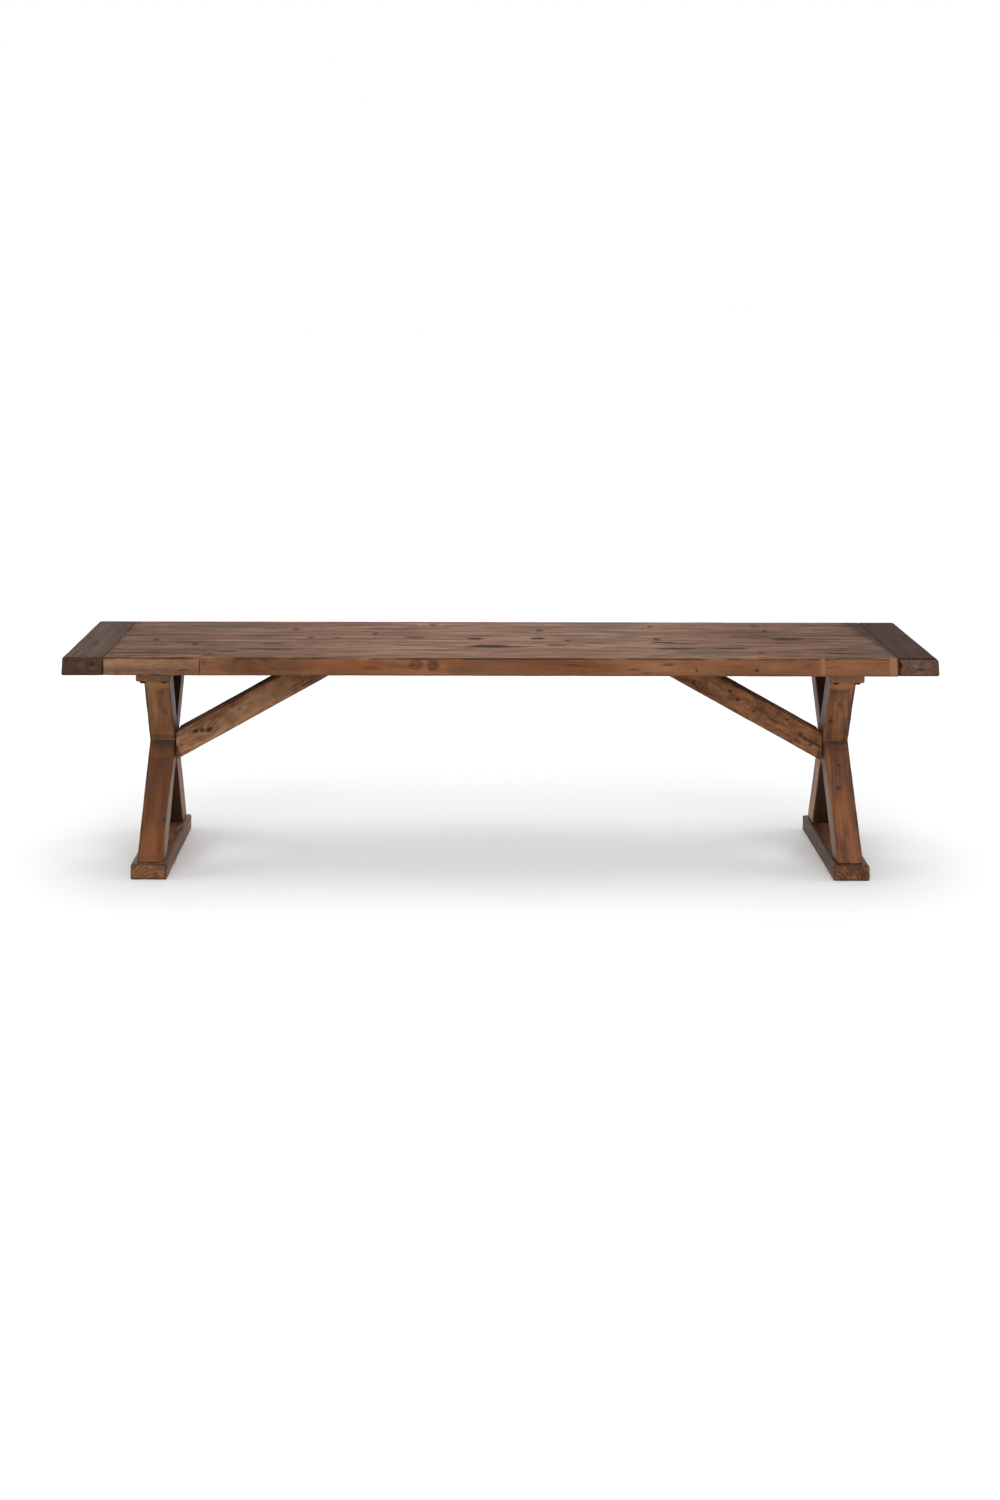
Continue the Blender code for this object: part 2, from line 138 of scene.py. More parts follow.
class BenchTimberSettings(bpy.types.PropertyGroup):
    """Sizes of the timber's wear."""

    mesh_step: length("Mesh step", 0.0045, "Spacing of a bar's mesh along and across it")
    outer_rounding: length("Outer rounding", 0.0045, "Rounding of the top's outer edges")
    seam_rounding: length("Seam rounding", 0.0012, "Rounding of the edges along the planks' seams")
    rail_rounding: length("Rail rounding", 0.0045, "Rounding of the foot rails' and crossbars' edges")
    leg_rounding: length("Leg rounding", 0.0030, "Rounding of the legs' and braces' long edges")
    undulation: length("Undulation", 0.0008, "Height of the slow waves in a worn face")
    wave: length("Wave", 0.060, "Length of those waves across the grain")
    edge_wear: length("Edge wear", 0.0018, "Deepest wear on an edge")
    edge_reach: length("Edge reach", 0.0070, "How far wear and dirt reach in from an edge")
    hole_radius: length("Hole radius", 0.0016, "Radius of a nail hole's mouth")
    check_depth: length("Check depth", 0.0022, "Depth of a drying check in its middle")
    leg_lean_top: length("Leg lean at the top", 0.0030, "How far a leg's top leans towards the middle")
    leg_lean_foot: length("Leg lean at the foot", 0.0025, "How far a leg's foot leans out from its solid")
    brace_gap: length("Brace gap", 0.0030, "Open gap between a brace's end and the legs")
    end_draft: length("End draft", 0.0020, "How much further out the top's ends reach at their lower edge")


class BenchColourSettings(bpy.types.PropertyGroup):
    """Colours of the stained timber and the iron."""

    seat_pale: colour("Seat, pale", (156, 124, 106), "Palest wood of the planks' tops")
    seat_middle: colour("Seat, middle", (119, 88, 72), "Middle tone of the planks' tops")
    seat_dark: colour("Seat, dark", (76, 54, 44), "Darkest streaks of the planks' tops")
    edge_pale: colour("Front edge, pale", (157, 108, 73), "Palest wood of the front plank's face")
    edge_middle: colour("Front edge, middle", (129, 85, 58), "Middle tone of the front plank's face")
    edge_dark: colour("Front edge, dark", (95, 60, 40), "Darkest streaks of the front plank's face")
    board_pale: colour("Board end, pale", (95, 74, 63), "Palest wood of the breadboard ends")
    board_middle: colour("Board end, middle", (70, 54, 44), "Middle tone of the breadboard ends")
    board_dark: colour("Board end, dark", (45, 34, 28), "Darkest streaks of the breadboard ends")
    leg_pale: colour("Leg, pale", (147, 100, 64), "Palest wood of the trestles")
    leg_middle: colour("Leg, middle", (114, 74, 48), "Middle tone of the trestles")
    leg_dark: colour("Leg, dark", (71, 46, 32), "Darkest streaks of the trestles")
    brace_pale: colour("Brace, pale", (161, 118, 83), "Palest wood of the braces")
    brace_middle: colour("Brace, middle", (120, 83, 58), "Middle tone of the braces")
    brace_dark: colour("Brace, dark", (71, 48, 35), "Darkest streaks of the braces")
    # Painted shade: a flat tone of its own for the braces' upper faces, set to how dark they look in the
    # seat's shade
    brace_top_shade: colour("Brace top shade", (140, 106, 84), "Dark upper faces of the braces")
    ember: colour("Ember", (155, 91, 52), "Orange patches where the stain wore thin")
    moss: colour("Moss", (85, 77, 64), "Greyish green patches in the planks' tops")
    # Painted sheen and light on the legs' inner sides, as if they caught the pale surroundings; also the pale
    # scratches and swirls on the breadboard ends
    bloom: colour("Sheen and scratches", (170, 151, 137), "Pale, greyish worn stain on the legs' inner sides")
    # Also the colour of the painted shade on the legs
    stain: colour("Stain", (44, 30, 23), "Dark stain in knots, checks and on the arrises")
    iron: colour("Iron", (38, 34, 32), "Blackened iron of the nails and bolts")
    yellow_zinc: colour("Yellow zinc", (176, 158, 118), "Yellow passivated zinc of the screws")
    bright_zinc: colour("Bright zinc", (170, 170, 166), "Plated zinc of the threaded inserts")
    beech: colour("Beech", (150, 112, 82), "The pegs' beech")


class BenchStageSettings(bpy.types.PropertyGroup):
    """The floor, the lamps and the camera."""

    floor: colour("Floor", (188, 187, 186), "The floor as it lights the bench")
    floor_seen: colour("Floor, seen", (249, 250, 251), "The floor's own colour as the camera sees it")
    floor_lift: ratio("Floor lift", 0.075, "Glow that the camera sees added to the floor")
    sky_light: ratio("Sky light", 0.25, "Share of the light that comes evenly from all round")
    top_light: ratio("Top light", 0.24, "Share of the light that comes from overhead")
    top_lean: degrees("Top lean", 4, "How far the overhead lamp leans towards the back")
    top_spread: degrees("Top spread", 36, "Angle that the overhead lamp fills")
    front_light: ratio("Front light", 0.265, "Share of the light that comes from the front")
    front_lean: degrees("Front lean", 55, "How far the front lamp leans from overhead")
    front_spread: degrees("Front spread", 70, "Angle that the front lamp fills")
    back_light: ratio("Back light", 0.105, "Share of the light that comes from the back")
    back_lean: degrees("Back lean", 50, "How far the back lamp leans from overhead")
    back_spread: degrees("Back spread", 60, "Angle that the back lamp fills")
    side_light: ratio("Side light", 0.115, "Share of the light that comes low from either side")
    side_lean: degrees("Side lean", 70, "How far each side lamp leans from overhead")
    side_spread: degrees("Side spread", 36, "Angle that each side lamp fills")
    camera_place: FloatVectorProperty(name="Camera place", description="Where the photograph was taken from",
                                      default=(-0.0772, -3.622, 1.240), size=3, subtype="TRANSLATION")
    camera_roll: degrees("Camera roll", -0.109, "How far the camera leans about its own axis")


def arithmetic(operation):
    """A Python operator, and the same one from the right, which add a Math node to a field's tree."""
    return (lambda one, other: one.graph.math(operation, one, other),
            lambda one, other: one.graph.math(operation, other, one))


class Field:
    """A number on a socket. Python's operators on it add Math nodes to its tree."""

    def __init__(self, graph, socket):
        self.graph = graph
        self.socket = socket

    __add__, __radd__ = arithmetic("ADD")
    __sub__, __rsub__ = arithmetic("SUBTRACT")
    __mul__, __rmul__ = arithmetic("MULTIPLY")
    __truediv__, __rtruediv__ = arithmetic("DIVIDE")


class Graph:
    """Adds nodes to a shader's or a Geometry Nodes tree."""

    def __init__(self, tree):
        self.tree = tree

    def node(self, kind, settings=None, inputs=None):
        """Adds a node. Its settings are set first, and then its sockets by their identifiers."""
        made = self.tree.nodes.new(kind)
        for name, value in (settings or {}).items():
            if name == "stops":
                self.fill_ramp(made.color_ramp, value)
            else:
                setattr(made, name, value)
        sockets = {socket.identifier: socket for socket in made.inputs}
        for name, value in (inputs or {}).items():
            self.feed(sockets[name], value)
        return made

    def feed(self, socket, value):
        """Links a socket to a field or another socket, or sets its value."""
        if isinstance(value, Field):
            value = value.socket
        if isinstance(value, bpy.types.NodeSocket):
            self.tree.links.new(value, socket)
        elif socket.type == "RGBA":
            socket.default_value = (*value[:3], 1)
        else:
            socket.default_value = value

    @staticmethod
    def fill_ramp(ramp, stops):
        while len(ramp.elements) < len(stops):
            ramp.elements.new(1)
        for element, (place, shade) in zip(ramp.elements, stops):
            element.position = place
            element.color = (*shade[:3], 1)

    def math(self, operation, *values):
        names = ("Value", "Value_001", "Value_002")
        made = self.node("ShaderNodeMath", {"operation": operation}, dict(zip(names, values)))
        return Field(self, made.outputs[0])

    def vector_math(self, operation, first, second, name="Vector_001"):
        inputs = {"Vector": first, name: second}
        return self.node("ShaderNodeVectorMath", {"operation": operation}, inputs).outputs

    def vector(self, operation, first, second):
        return self.vector_math(operation, first, second)["Vector"]

    def scaled(self, vector, amount):
        return self.vector_math("SCALE", vector, amount, "Scale")["Vector"]

    def dot(self, first, second):
        return Field(self, self.vector_math("DOT_PRODUCT", first, second)["Value"])

    def split(self, vector):
        outputs = self.node("ShaderNodeSeparateXYZ", inputs={"Vector": vector}).outputs
        return tuple(Field(self, outputs[axis]) for axis in "XYZ")

    def noise(self, vector, seed, scale=1.0, detail=0.0, roughness=0.5):
        inputs = {"Vector": vector, "W": seed, "Scale": scale, "Detail": detail, "Roughness": roughness}
        made = self.node("ShaderNodeTexNoise", {"noise_dimensions": "4D"}, inputs)
        return Field(self, made.outputs[0])

    def smooth(self, value, low, high):
        """0 at low and 1 at high, eased at both; low may be the larger one."""
        inputs = {"Value": value, "From Min": low, "From Max": high}
        made = self.node("ShaderNodeMapRange", {"interpolation_type": "SMOOTHSTEP"}, inputs)
        return Field(self, made.outputs[0])

    def mix(self, share, first, second):
        """The first colour, turned into the second one by a share."""
        inputs = {"Factor_Float": share, "A_Color": first, "B_Color": second}
        made = self.node("ShaderNodeMix", {"data_type": "RGBA"}, inputs)
        return next(socket for socket in made.outputs if socket.identifier == "Result_Color")


@dataclass
class Mark:
    """A knot, hole, check, stain or tint on one of a bar's faces, or painted light, shade or sheen.

    at is its place in the bench. half_width is across the grain, and it is stretch times as long along it.
    face is "through" or "side" for a face that looks through or across the bar, and "end" for an end.
    """

    kind: str
    at: tuple
    half_width: float
    stretch: float = 1.0
    face: str = "through"
    strength: float = 1.0


@dataclass
class Bar:
    """A sawn bar between two end sections, each given by four corners.

    The corners go round the section: low low, high low, high high and low high, across and through the bar.
    """

    name: str
    start: np.ndarray
    end: np.ndarray
    width: float
    depth: float
    seed: int
    roundings: tuple
    start_rounding: float = 0.0015
    end_rounding: float = 0.0015
    marks: list = field(default_factory=list)

    def __post_init__(self):
        self.start = np.array(self.start, float)
        self.end = np.array(self.end, float)
        self.middle = Vector((self.start.mean(0) + self.end.mean(0)) / 2)
        run = Vector(self.end.mean(0) - self.start.mean(0))
        self.length = run.length
        self.along = run.normalized()
        self.across = Vector(self.start[1] - self.start[0]).normalized()
        self.through = self.along.cross(self.across)

    def frame(self):
        """The matrix that brings a place in the bench to the bar's own along, across and through."""
        turn = Matrix((self.along, self.across, self.through))
        return Matrix.Translation(-(turn @ self.middle)) @ turn.to_4x4()

    def place(self, at):
        return self.frame() @ Vector(at)


def rounded_ring(bar, step):
    """Points round a bar's section as shares across and through, with an arc at each corner."""
    width, depth = bar.width, bar.depth
    arcs = []
    for index, rounding in enumerate(bar.roundings):
        across = rounding if index in (0, 3) else width - rounding
        through = rounding if index in (0, 1) else depth - rounding
        angles = np.radians(180 + 90 * index + np.linspace(0, 90, ARC_STEPS + 1))
        arc = np.column_stack((np.cos(angles), np.sin(angles))) * rounding
        arcs.append(arc + (across, through))
    points = []
    for arc, following in zip(arcs, arcs[1:] + arcs[:1]):
        run = following[0] - arc[-1]
        count = max(1, round(np.linalg.norm(run) / step))
        points += list(arc)
        points += [arc[-1] + run * index / count for index in range(1, count)]
    return np.array(points) / (width, depth)


def sections(bar, step):
    """For each section its distance from the start, its inset from the faces, and its share of full size."""
    angles = np.radians(np.linspace(0, 90, ARC_STEPS + 1))
    arc = [(1 - math.cos(angle), 1 - math.sin(angle)) for angle in angles]
    start = [(run * bar.start_rounding, inset * bar.start_rounding, 1.0) for run, inset in arc]
    end = [(bar.length - run * bar.end_rounding, inset * bar.end_rounding, 1.0) for run, inset in arc[::-1]]
    low, high = start[-1][0], end[0][0]
    count = max(2, round((high - low) / step))
    between = [(low + (high - low) * index / count, 0.0, 1.0) for index in range(1, count)]
    start_cap = [(0.0, bar.start_rounding, share) for share in CAP_SHARES]
    end_cap = [(bar.length, bar.end_rounding, share) for share in reversed(CAP_SHARES)]
    return np.array(start_cap + start + between + end + end_cap)


def bar_mesh(bar, step, reach):
    """The bar's mesh, closed at both ends. Its edge attribute falls from 1 on an arris to 0 at the reach."""
    ring = rounded_ring(bar, step)
    rows = sections(bar, step)
    size = np.array((bar.width, bar.depth))
    shrink = rows[:, 2:3] * (1 - rows[:, 1:2] * 2 / size)
    shares = 0.5 + (ring[None] - 0.5) * shrink[:, None]
    travel = rows[:, 0] / bar.length
    travel = np.repeat(travel[:, None], len(ring), axis=1)
    shares = np.concatenate((shares.reshape(-1, 2), [(0.5, 0.5), (0.5, 0.5)]))
    travel = np.concatenate((travel.ravel(), (0.0, 1.0)))

    u, v = shares[:, :1], shares[:, 1:]
    corners = [(1 - u) * (1 - v), u * (1 - v), u * v, (1 - u) * v]
    low, high = (sum(weight * section[index] for index, weight in enumerate(corners))
                 for section in (bar.start, bar.end))
    places = low + (high - low) * travel[:, None]

    count, around = len(rows), len(ring)
    first = np.arange(count - 1)[:, None] * around + np.arange(around)[None]
    turn = np.roll(first, -1, axis=1)
    faces = np.stack((first, turn, turn + around, first + around), axis=-1).reshape(-1, 4).tolist()
    for centre, row in ((count * around, 0), (count * around + 1, count - 1)):
        base = row * around
        fan = [(centre, base + (index + 1) % around, base + index) for index in range(around)]
        faces += fan if row == 0 else [tuple(reversed(face)) for face in fan]

    made = bpy.data.meshes.new(bar.name)
    made.from_pydata(places.tolist(), [], faces)
    lengthwise = np.minimum(travel, 1 - travel) * bar.length
    gaps = np.column_stack((np.minimum(shares, 1 - shares) * size, lengthwise))
    nearest = np.sort(gaps, axis=1)[:, 1]
    edge = made.attributes.new("edge", "FLOAT", "POINT")
    edge.data.foreach_set("value", np.clip(1 - nearest / reach, 0, 1).astype(np.float32))
    solid = bmesh.new()
    solid.from_mesh(made)
    if solid.calc_volume(signed=True) < 0:
        bmesh.ops.reverse_faces(solid, faces=solid.faces)
    solid.to_mesh(made)
    solid.free()
    return made


def add_object(name, mesh):
    made = bpy.data.objects.new(name, mesh)
    bpy.context.scene.collection.objects.link(made)
    return made


def open_tree(name, inputs):
    """A new Geometry Nodes tree with named inputs. Returns its Graph and its input node's sockets by name."""
    tree = bpy.data.node_groups.new(name, "GeometryNodeTree")
    tree.interface.new_socket("Geometry", in_out="INPUT", socket_type="NodeSocketGeometry")
    for label, (kind, about) in inputs.items():
        socket = tree.interface.new_socket(label, in_out="INPUT", socket_type=kind)
        socket.description = about
    tree.interface.new_socket("Geometry", in_out="OUTPUT", socket_type="NodeSocketGeometry")
    graph = Graph(tree)
    given = graph.node("NodeGroupInput").outputs
    return graph, {label: given[label] for label in ("Geometry", *inputs)}


def close_tree(graph, geometry, finish):
    """Ends a tree in Realize Instances and Set Material."""
    real = graph.node("GeometryNodeRealizeInstances", inputs={"Geometry": geometry}).outputs["Geometry"]
    dressed = graph.node("GeometryNodeSetMaterial", inputs={"Geometry": real, "Material": finish})
    out = graph.node("NodeGroupOutput")
    graph.tree.links.new(dressed.outputs["Geometry"], out.inputs["Geometry"])
    return graph.tree


def weathering_tree():
    """Weathered timber: slow waves in the faces, and arrises that are worn away in places."""
    graph, given = open_tree("weather_timber", {
        "Seed": ("NodeSocketFloat", "Which weathering this bar gets"),
        "Stretch": ("NodeSocketVector", "How much the waves are drawn out along the bench's axes"),
        "Undulation": ("NodeSocketFloat", "Height of the slow waves"),
        "Wave": ("NodeSocketFloat", "Length of the waves across the grain"),
        "Edge wear": ("NodeSocketFloat", "Deepest wear on an arris"),
        "Finish": ("NodeSocketMaterial", "The bar's material"),
    })
    place = graph.node("GeometryNodeInputPosition").outputs["Position"]
    normal = graph.node("GeometryNodeInputNormal").outputs["Normal"]
    drawn = graph.vector("DIVIDE", place, given["Stretch"])
    seed = Field(graph, given["Seed"])
    wave = Field(graph, given["Wave"])
    edge = Field(graph, graph.node("GeometryNodeInputNamedAttribute", {"data_type": "FLOAT"},
                                   {"Name": "edge"}).outputs["Attribute"])
    swell = graph.noise(drawn, seed, 1 / wave, 1.0) - 0.5
    bite = graph.smooth(graph.noise(drawn, seed + 7.0, 3.5 / wave, 2.0, 0.6), 0.42, 0.75)
    rise = swell * given["Undulation"] - bite * edge * edge * given["Edge wear"]
    offset = graph.scaled(normal, rise)
    moved = graph.node("GeometryNodeSetPosition", inputs={"Geometry": given["Geometry"], "Offset": offset})
    plain = graph.node("GeometryNodeRemoveAttribute",
                       inputs={"Geometry": moved.outputs["Geometry"], "Name": "edge"})
    return close_tree(graph, plain.outputs["Geometry"], given["Finish"])


def fastening_tree():
    """One fastener at each point, with its length along the point's aim and a turn of its own about it."""
    graph, given = open_tree("set_fasteners", {
        "Fastener": ("NodeSocketObject", "The piece that is repeated"),
        "Seed": ("NodeSocketInt", "Which turns the fasteners get"),
        "Finish": ("NodeSocketMaterial", "The fasteners' material"),
    })
    one = graph.node("GeometryNodeObjectInfo", {"transform_space": "ORIGINAL"}, {"Object": given["Fastener"]})
    aim = graph.node("GeometryNodeInputNamedAttribute", {"data_type": "FLOAT_VECTOR"}, {"Name": "aim"})
    chance = graph.node("FunctionNodeRandomValue", {"data_type": "FLOAT"},
                        {"Min_001": 0.0, "Max_001": math.tau, "Seed": given["Seed"]})
    turn = next(socket for socket in chance.outputs if socket.identifier == "Value_001")
    spin = graph.node("FunctionNodeAxisAngleToRotation", inputs={"Axis": (0, 0, 1), "Angle": turn})
    lean = graph.node("FunctionNodeAlignRotationToVector", {"axis": "Z"},
                      {"Rotation": spin.outputs["Rotation"], "Vector": aim.outputs["Attribute"]})
    inputs = {"Points": given["Geometry"], "Instance": one.outputs["Geometry"],
              "Rotation": lean.outputs["Rotation"]}
    placed = graph.node("GeometryNodeInstanceOnPoints", inputs=inputs)
    return close_tree(graph, placed.outputs["Instances"], given["Finish"])


def apply_tree(piece, tree, values):
    """Adds a tree to a piece with its inputs set by their sockets' identifiers."""
    modifier = piece.modifiers.new(tree.name, "NODES")
    modifier.node_group = tree
    for item in tree.interface.items_tree:
        if item.item_type == "SOCKET" and item.in_out == "INPUT" and item.name in values:
            modifier[item.identifier] = values[item.name]


def settle(piece):
    """Turns a piece with modifiers into a plain mesh, with sharp edges only where faces meet steeply."""
    bpy.context.view_layer.update()
    result = piece.evaluated_get(bpy.context.evaluated_depsgraph_get())
    plain = bpy.data.meshes.new_from_object(result)
    piece.modifiers.clear()
    old = piece.data
    piece.data = plain
    plain.name = piece.name
    bpy.data.meshes.remove(old)
    plain.shade_smooth()
    plain.set_sharp_from_angle(angle=SHARP_ANGLE)


def turned_shape(outline, sides):
    """A closed bmesh of an outline of (radius, height) points turned about Z."""
    shape = bmesh.new()
    rings = []
    for radius, height in outline:
        angles = [math.tau * index / sides for index in range(sides)]
        around = angles if radius else [0.0]
        rings.append([shape.verts.new((radius * math.cos(a), radius * math.sin(a), height)) for a in around])
    for low, high in zip(rings, rings[1:]):
        for index in range(sides):
            after = (index + 1) % sides
            steps = ((low, index), (low, after), (high, after), (high, index))
            corners = [ring[step % len(ring)] for ring, step in steps]
            shape.faces.new(list(dict.fromkeys(corners)))
    for ring in (rings[0], rings[-1]):
        if len(ring) > 1:
            shape.faces.new(ring)
    bmesh.ops.recalc_face_normals(shape, faces=shape.faces)
    return shape


def add_shape(target, shape, place, direction):
    """Adds a shape to a bmesh with its Z turned to a direction and its origin brought to a place."""
    turn = Vector(direction).to_track_quat("Z", "Y").to_matrix().to_4x4()
    shape.transform(Matrix.Translation(place) @ turn)
    held = bpy.data.meshes.new("held")
    shape.to_mesh(held)
    shape.free()
    target.from_mesh(held)
    bpy.data.meshes.remove(held)


# The lengths that a drying check is divided into
CHECK_STEPS = 9


def add_check(target, bar, mark, outward, depth):
    """Adds the wedge that cuts a drying check: a ragged slit that narrows to its ends."""
    chance = random.Random(round(mark.at[0] * 1e4) + bar.seed)
    reach = mark.half_width * mark.stretch
    crosswise = outward.cross(bar.along)
    rise = outward * depth
    place = bar.place(mark.at)
    surface = Vector(mark.at)
    if mark.face == "through":
        surface += bar.through * (math.copysign(bar.depth / 2, outward.dot(bar.through)) - place.z)
    else:
        surface += bar.across * (math.copysign(bar.width / 2, outward.dot(bar.across)) - place.y)
    rows = []
    for index in range(1, CHECK_STEPS):
        share = index / CHECK_STEPS * 2 - 1
        full = 1 - share * share
        sway = crosswise * chance.uniform(-0.35, 0.35) * mark.half_width
        middle = surface + bar.along * share * reach + sway
        half = crosswise * mark.half_width * full * chance.uniform(0.7, 1.1)
        corners = (middle + half + rise, middle - half + rise, middle - rise * full)
        rows.append([target.verts.new(corner) for corner in corners])
    tips = [target.verts.new(surface + bar.along * side * reach + rise) for side in (-1, 1)]
    for low, high in zip(rows, rows[1:]):
        for index in range(3):
            after = (index + 1) % 3
            target.faces.new((low[index], low[after], high[after], high[index]))
    for index in range(3):
        after = (index + 1) % 3
        target.faces.new((tips[0], rows[0][after], rows[0][index]))
        target.faces.new((tips[1], rows[-1][index], rows[-1][after]))


def cut(piece, cutter, operation="DIFFERENCE"):
    boolean = piece.modifiers.new("cut", "BOOLEAN")
    boolean.operation = operation
    boolean.solver = "MANIFOLD"
    boolean.object = cutter


def make_cutter(name, shape):
    bmesh.ops.recalc_face_normals(shape, faces=shape.faces)
    mesh = bpy.data.meshes.new(name)
    shape.to_mesh(mesh)
    shape.free()
    return add_object(name, mesh)


def facing(bar, mark):
    """The outward direction of the face that a mark lies on."""
    axis = MARK_AXES[mark.face][2]
    direction = (bar.along, bar.across, bar.through)[axis]
    return direction if bar.place(mark.at)[axis] > 0 else -direction


def carve_marks(piece, bar):
    """Cuts the bar's nail holes and checks, and returns the cutter."""
    timber = bpy.context.scene.bench_timber
    radius = timber.hole_radius
    shape = bmesh.new()
    for mark in bar.marks:
        outward = facing(bar, mark)
        if mark.kind == "hole":
            mouth = mark.half_width
            pit = [(0, -radius), (mouth, -radius), (mouth, 0), (mouth * 0.55, 2 * radius), (0, 2.4 * radius)]
            add_shape(shape, turned_shape(pit, 10), mark.at, -outward)
        elif mark.kind == "check":
            add_check(shape, bar, mark, outward, timber.check_depth)
    if not shape.verts:
        shape.free()
        return None
    cutter = make_cutter(bar.name + "_marks", shape)
    cut(piece, cutter)
    return cutter


@dataclass
class Look:
    """A finish: three tones of stained wood, how strongly its patterns show, and the shade of its ends."""

    pale: tuple
    middle: tuple
    dark: tuple
    patches: float = 1.0
    bands: float = 1.2
    streaks: float = 1.2
    blotches: float = 0.8
    rings: float = 0.22
    ember: float = 0.4
    glaze: float = 0.75
    gloss: float = 0.5
    roughness: float = 0.5
    ends: tuple = (1.0, 1.0, 1.0)
    ring_gap: float = 0.0034
    moss: float = 0.0
    lip: float = 0.0
    dark_ends: tuple = ()
    rim: float = 1.0
    flecks: float = 0.6
    arcs: float = 0.5
    fade: float = 0.0
    butted: bool = False
    top: object = None

    def tinted(self, red, green, blue, **changes):
        """The same finish with its tones multiplied, and with other changes."""
        shades = {name: times(getattr(self, name), red, green, blue) for name in ("pale", "middle", "dark")}
        return replace(self, **shades, **changes)


def tones(graph, tone, look):
    """The look's dark, middle and pale tone along a field from 0 to 1."""
    stops = [(0.05, look.dark), (0.5, look.middle), (0.95, look.pale)]
    return graph.node("ShaderNodeValToRGB", {"stops": stops}, {"Fac": tone}).outputs["Color"]


def new_finish(name, roughness, metallic=0.0, gloss=0.5):
    """A new material with its Graph and its Principled shader."""
    made = bpy.data.materials.new(name)
    made.use_nodes = True
    shader = made.node_tree.nodes["Principled BSDF"]
    shader.inputs["Roughness"].default_value = roughness
    shader.inputs["Metallic"].default_value = metallic
    shader.inputs["Specular IOR Level"].default_value = gloss
    return made, Graph(made.node_tree), shader


def emboss(graph, shader, height, strength, distance):
    bump = graph.node("ShaderNodeBump", inputs={"Strength": strength, "Distance": distance, "Height": height})
    graph.feed(shader.inputs["Normal"], bump.outputs["Normal"])


# Patterns in the pine: waves to a metre along and across the grain, its own offset, detail and roughness
PATTERNS = {
    "wander": (1.7, 3.0, 0.0, 1.0, 0.55),
    "drift": (2.6, 4.0, 1.0, 1.0, 0.55),
    "ring_shift": (14, 60, 2.0, 2.0, 0.55),
    "fibre": (22, 700, 3.0, 2.0, 0.6),
    "streak": (6.5, 52, 4.0, 2.0, 0.6),
    "patch": (2.8, 9, 5.0, 2.0, 0.55),
    "blotch": (42, 75, 6.0, 3.0, 0.6),
    "fleck": (13, 80, 7.0, 1.0, 0.55),
    "ember": (4.5, 17, 8.0, 2.0, 0.55),
    "arris": (26, 55, 9.0, 3.0, 0.55),
    "polish": (12, 30, 10.0, 2.0, 0.55),
    "wobble": (90, 90, 11.0, 2.0, 0.55),
    "band": (2.6, 26, 12.0, 1.0, 0.55),
    "moss": (5.0, 16, 14.0, 1.0, 0.55),
    "fine": (6.5, 115, 15.0, 3.0, 0.62),
    "swirl": (40, 55, 16.0, 2.0, 0.55),
    "end_pale": (60, 55, 17.0, 3.0, 0.55),
    "end_dark": (60, 70, 18.0, 3.0, 0.55),
    "lip_line": (8, 30, 19.0, 2.0, 0.55),
    "lip": (5, 20, 20.0, 2.0, 0.55),
    "eye": (130, 190, 21.0, 2.0, 0.55),
}

# How far one bar's noise lies from the next one's
SEED_STEP = 3.7


class Grain:
    """A bar's own directions in its material, with noise drawn out along them."""

    def __init__(self, graph, bar):
        self.graph = graph
        self.bar = bar
        self.where = graph.node("ShaderNodeTexCoord").outputs["Object"]
        to_bar = bar.frame()
        inputs = {"Vector": self.where, "Location": to_bar.translation, "Rotation": to_bar.to_euler()}
        self.place = graph.node("ShaderNodeMapping", {"vector_type": "POINT"}, inputs).outputs["Vector"]
        self.axes = graph.split(self.place)
        self.normal = graph.node("ShaderNodeNewGeometry").outputs["Normal"]
        self.upward = graph.smooth(graph.split(self.normal)[2], 0.60, 0.95)

    def pattern(self, name):
        """Noise from 0 to 1, from its row in PATTERNS."""
        lengthwise, crosswise, offset, detail, roughness = PATTERNS[name]
        drawn = self.graph.vector("MULTIPLY", self.place, (lengthwise, crosswise, crosswise))
        return self.graph.noise(drawn, self.bar.seed * SEED_STEP + offset, 1.0, detail, roughness)

    def swing(self, name, reach=1.0):
        """A pattern about 0, times a reach."""
        return (self.pattern(name) - 0.5) * reach

    def patches(self, name, low, high):
        """0 where a pattern is under low, and 1 where it is over high."""
        return self.graph.smooth(self.pattern(name), low, high)

    def spread(self, mark, wobble):
        """How far a place is from a mark, squared, where 1 is the mark's outline."""
        long_axis, wide_axis, _ = MARK_AXES[mark.face]
        place = self.bar.place(mark.at)
        lengthwise = (self.axes[long_axis] - place[long_axis]) * (1 / (mark.half_width * mark.stretch))
        crosswise = (self.axes[wide_axis] - place[wide_axis]) * (1 / mark.half_width) + wobble
        return lengthwise * lengthwise + crosswise * crosswise


# How deep below a bar's lower face its pith lies at least
PITH_BELOW = 0.012


def growth_rings(grain, look, wobble):
    """The distance from the pith, bulging round the knots, and the dark latewood of each ring."""
    bar, graph = grain.bar, grain.graph
    chance = random.Random(bar.seed)
    pith_across = chance.uniform(-0.55, 0.55) * bar.width
    pith_through = -chance.uniform(0.35, 1.1) * bar.depth - PITH_BELOW
    sideways = grain.axes[1] - pith_across + grain.swing("wander", 0.05)
    upwards = grain.axes[2] - pith_through + grain.swing("drift", 0.03)
    radius = graph.math("SQRT", sideways * sideways + upwards * upwards)
    for mark in bar.marks:
        if mark.kind == "knot":
            spread = grain.spread(mark, wobble * 0.4)
            radius = radius + graph.math("EXPONENT", spread * -0.16) * (mark.half_width * 0.9)
    phase = graph.math("FRACT", radius * (1 / look.ring_gap) + grain.swing("ring_shift", 0.5))
    return radius, graph.smooth(phase, 0.30, 0.86) * graph.smooth(phase, 1.0, 0.92)


# Distances from the bench's middle between which its top turns paler
FADE_FROM = 0.80
FADE_TO = 0.25


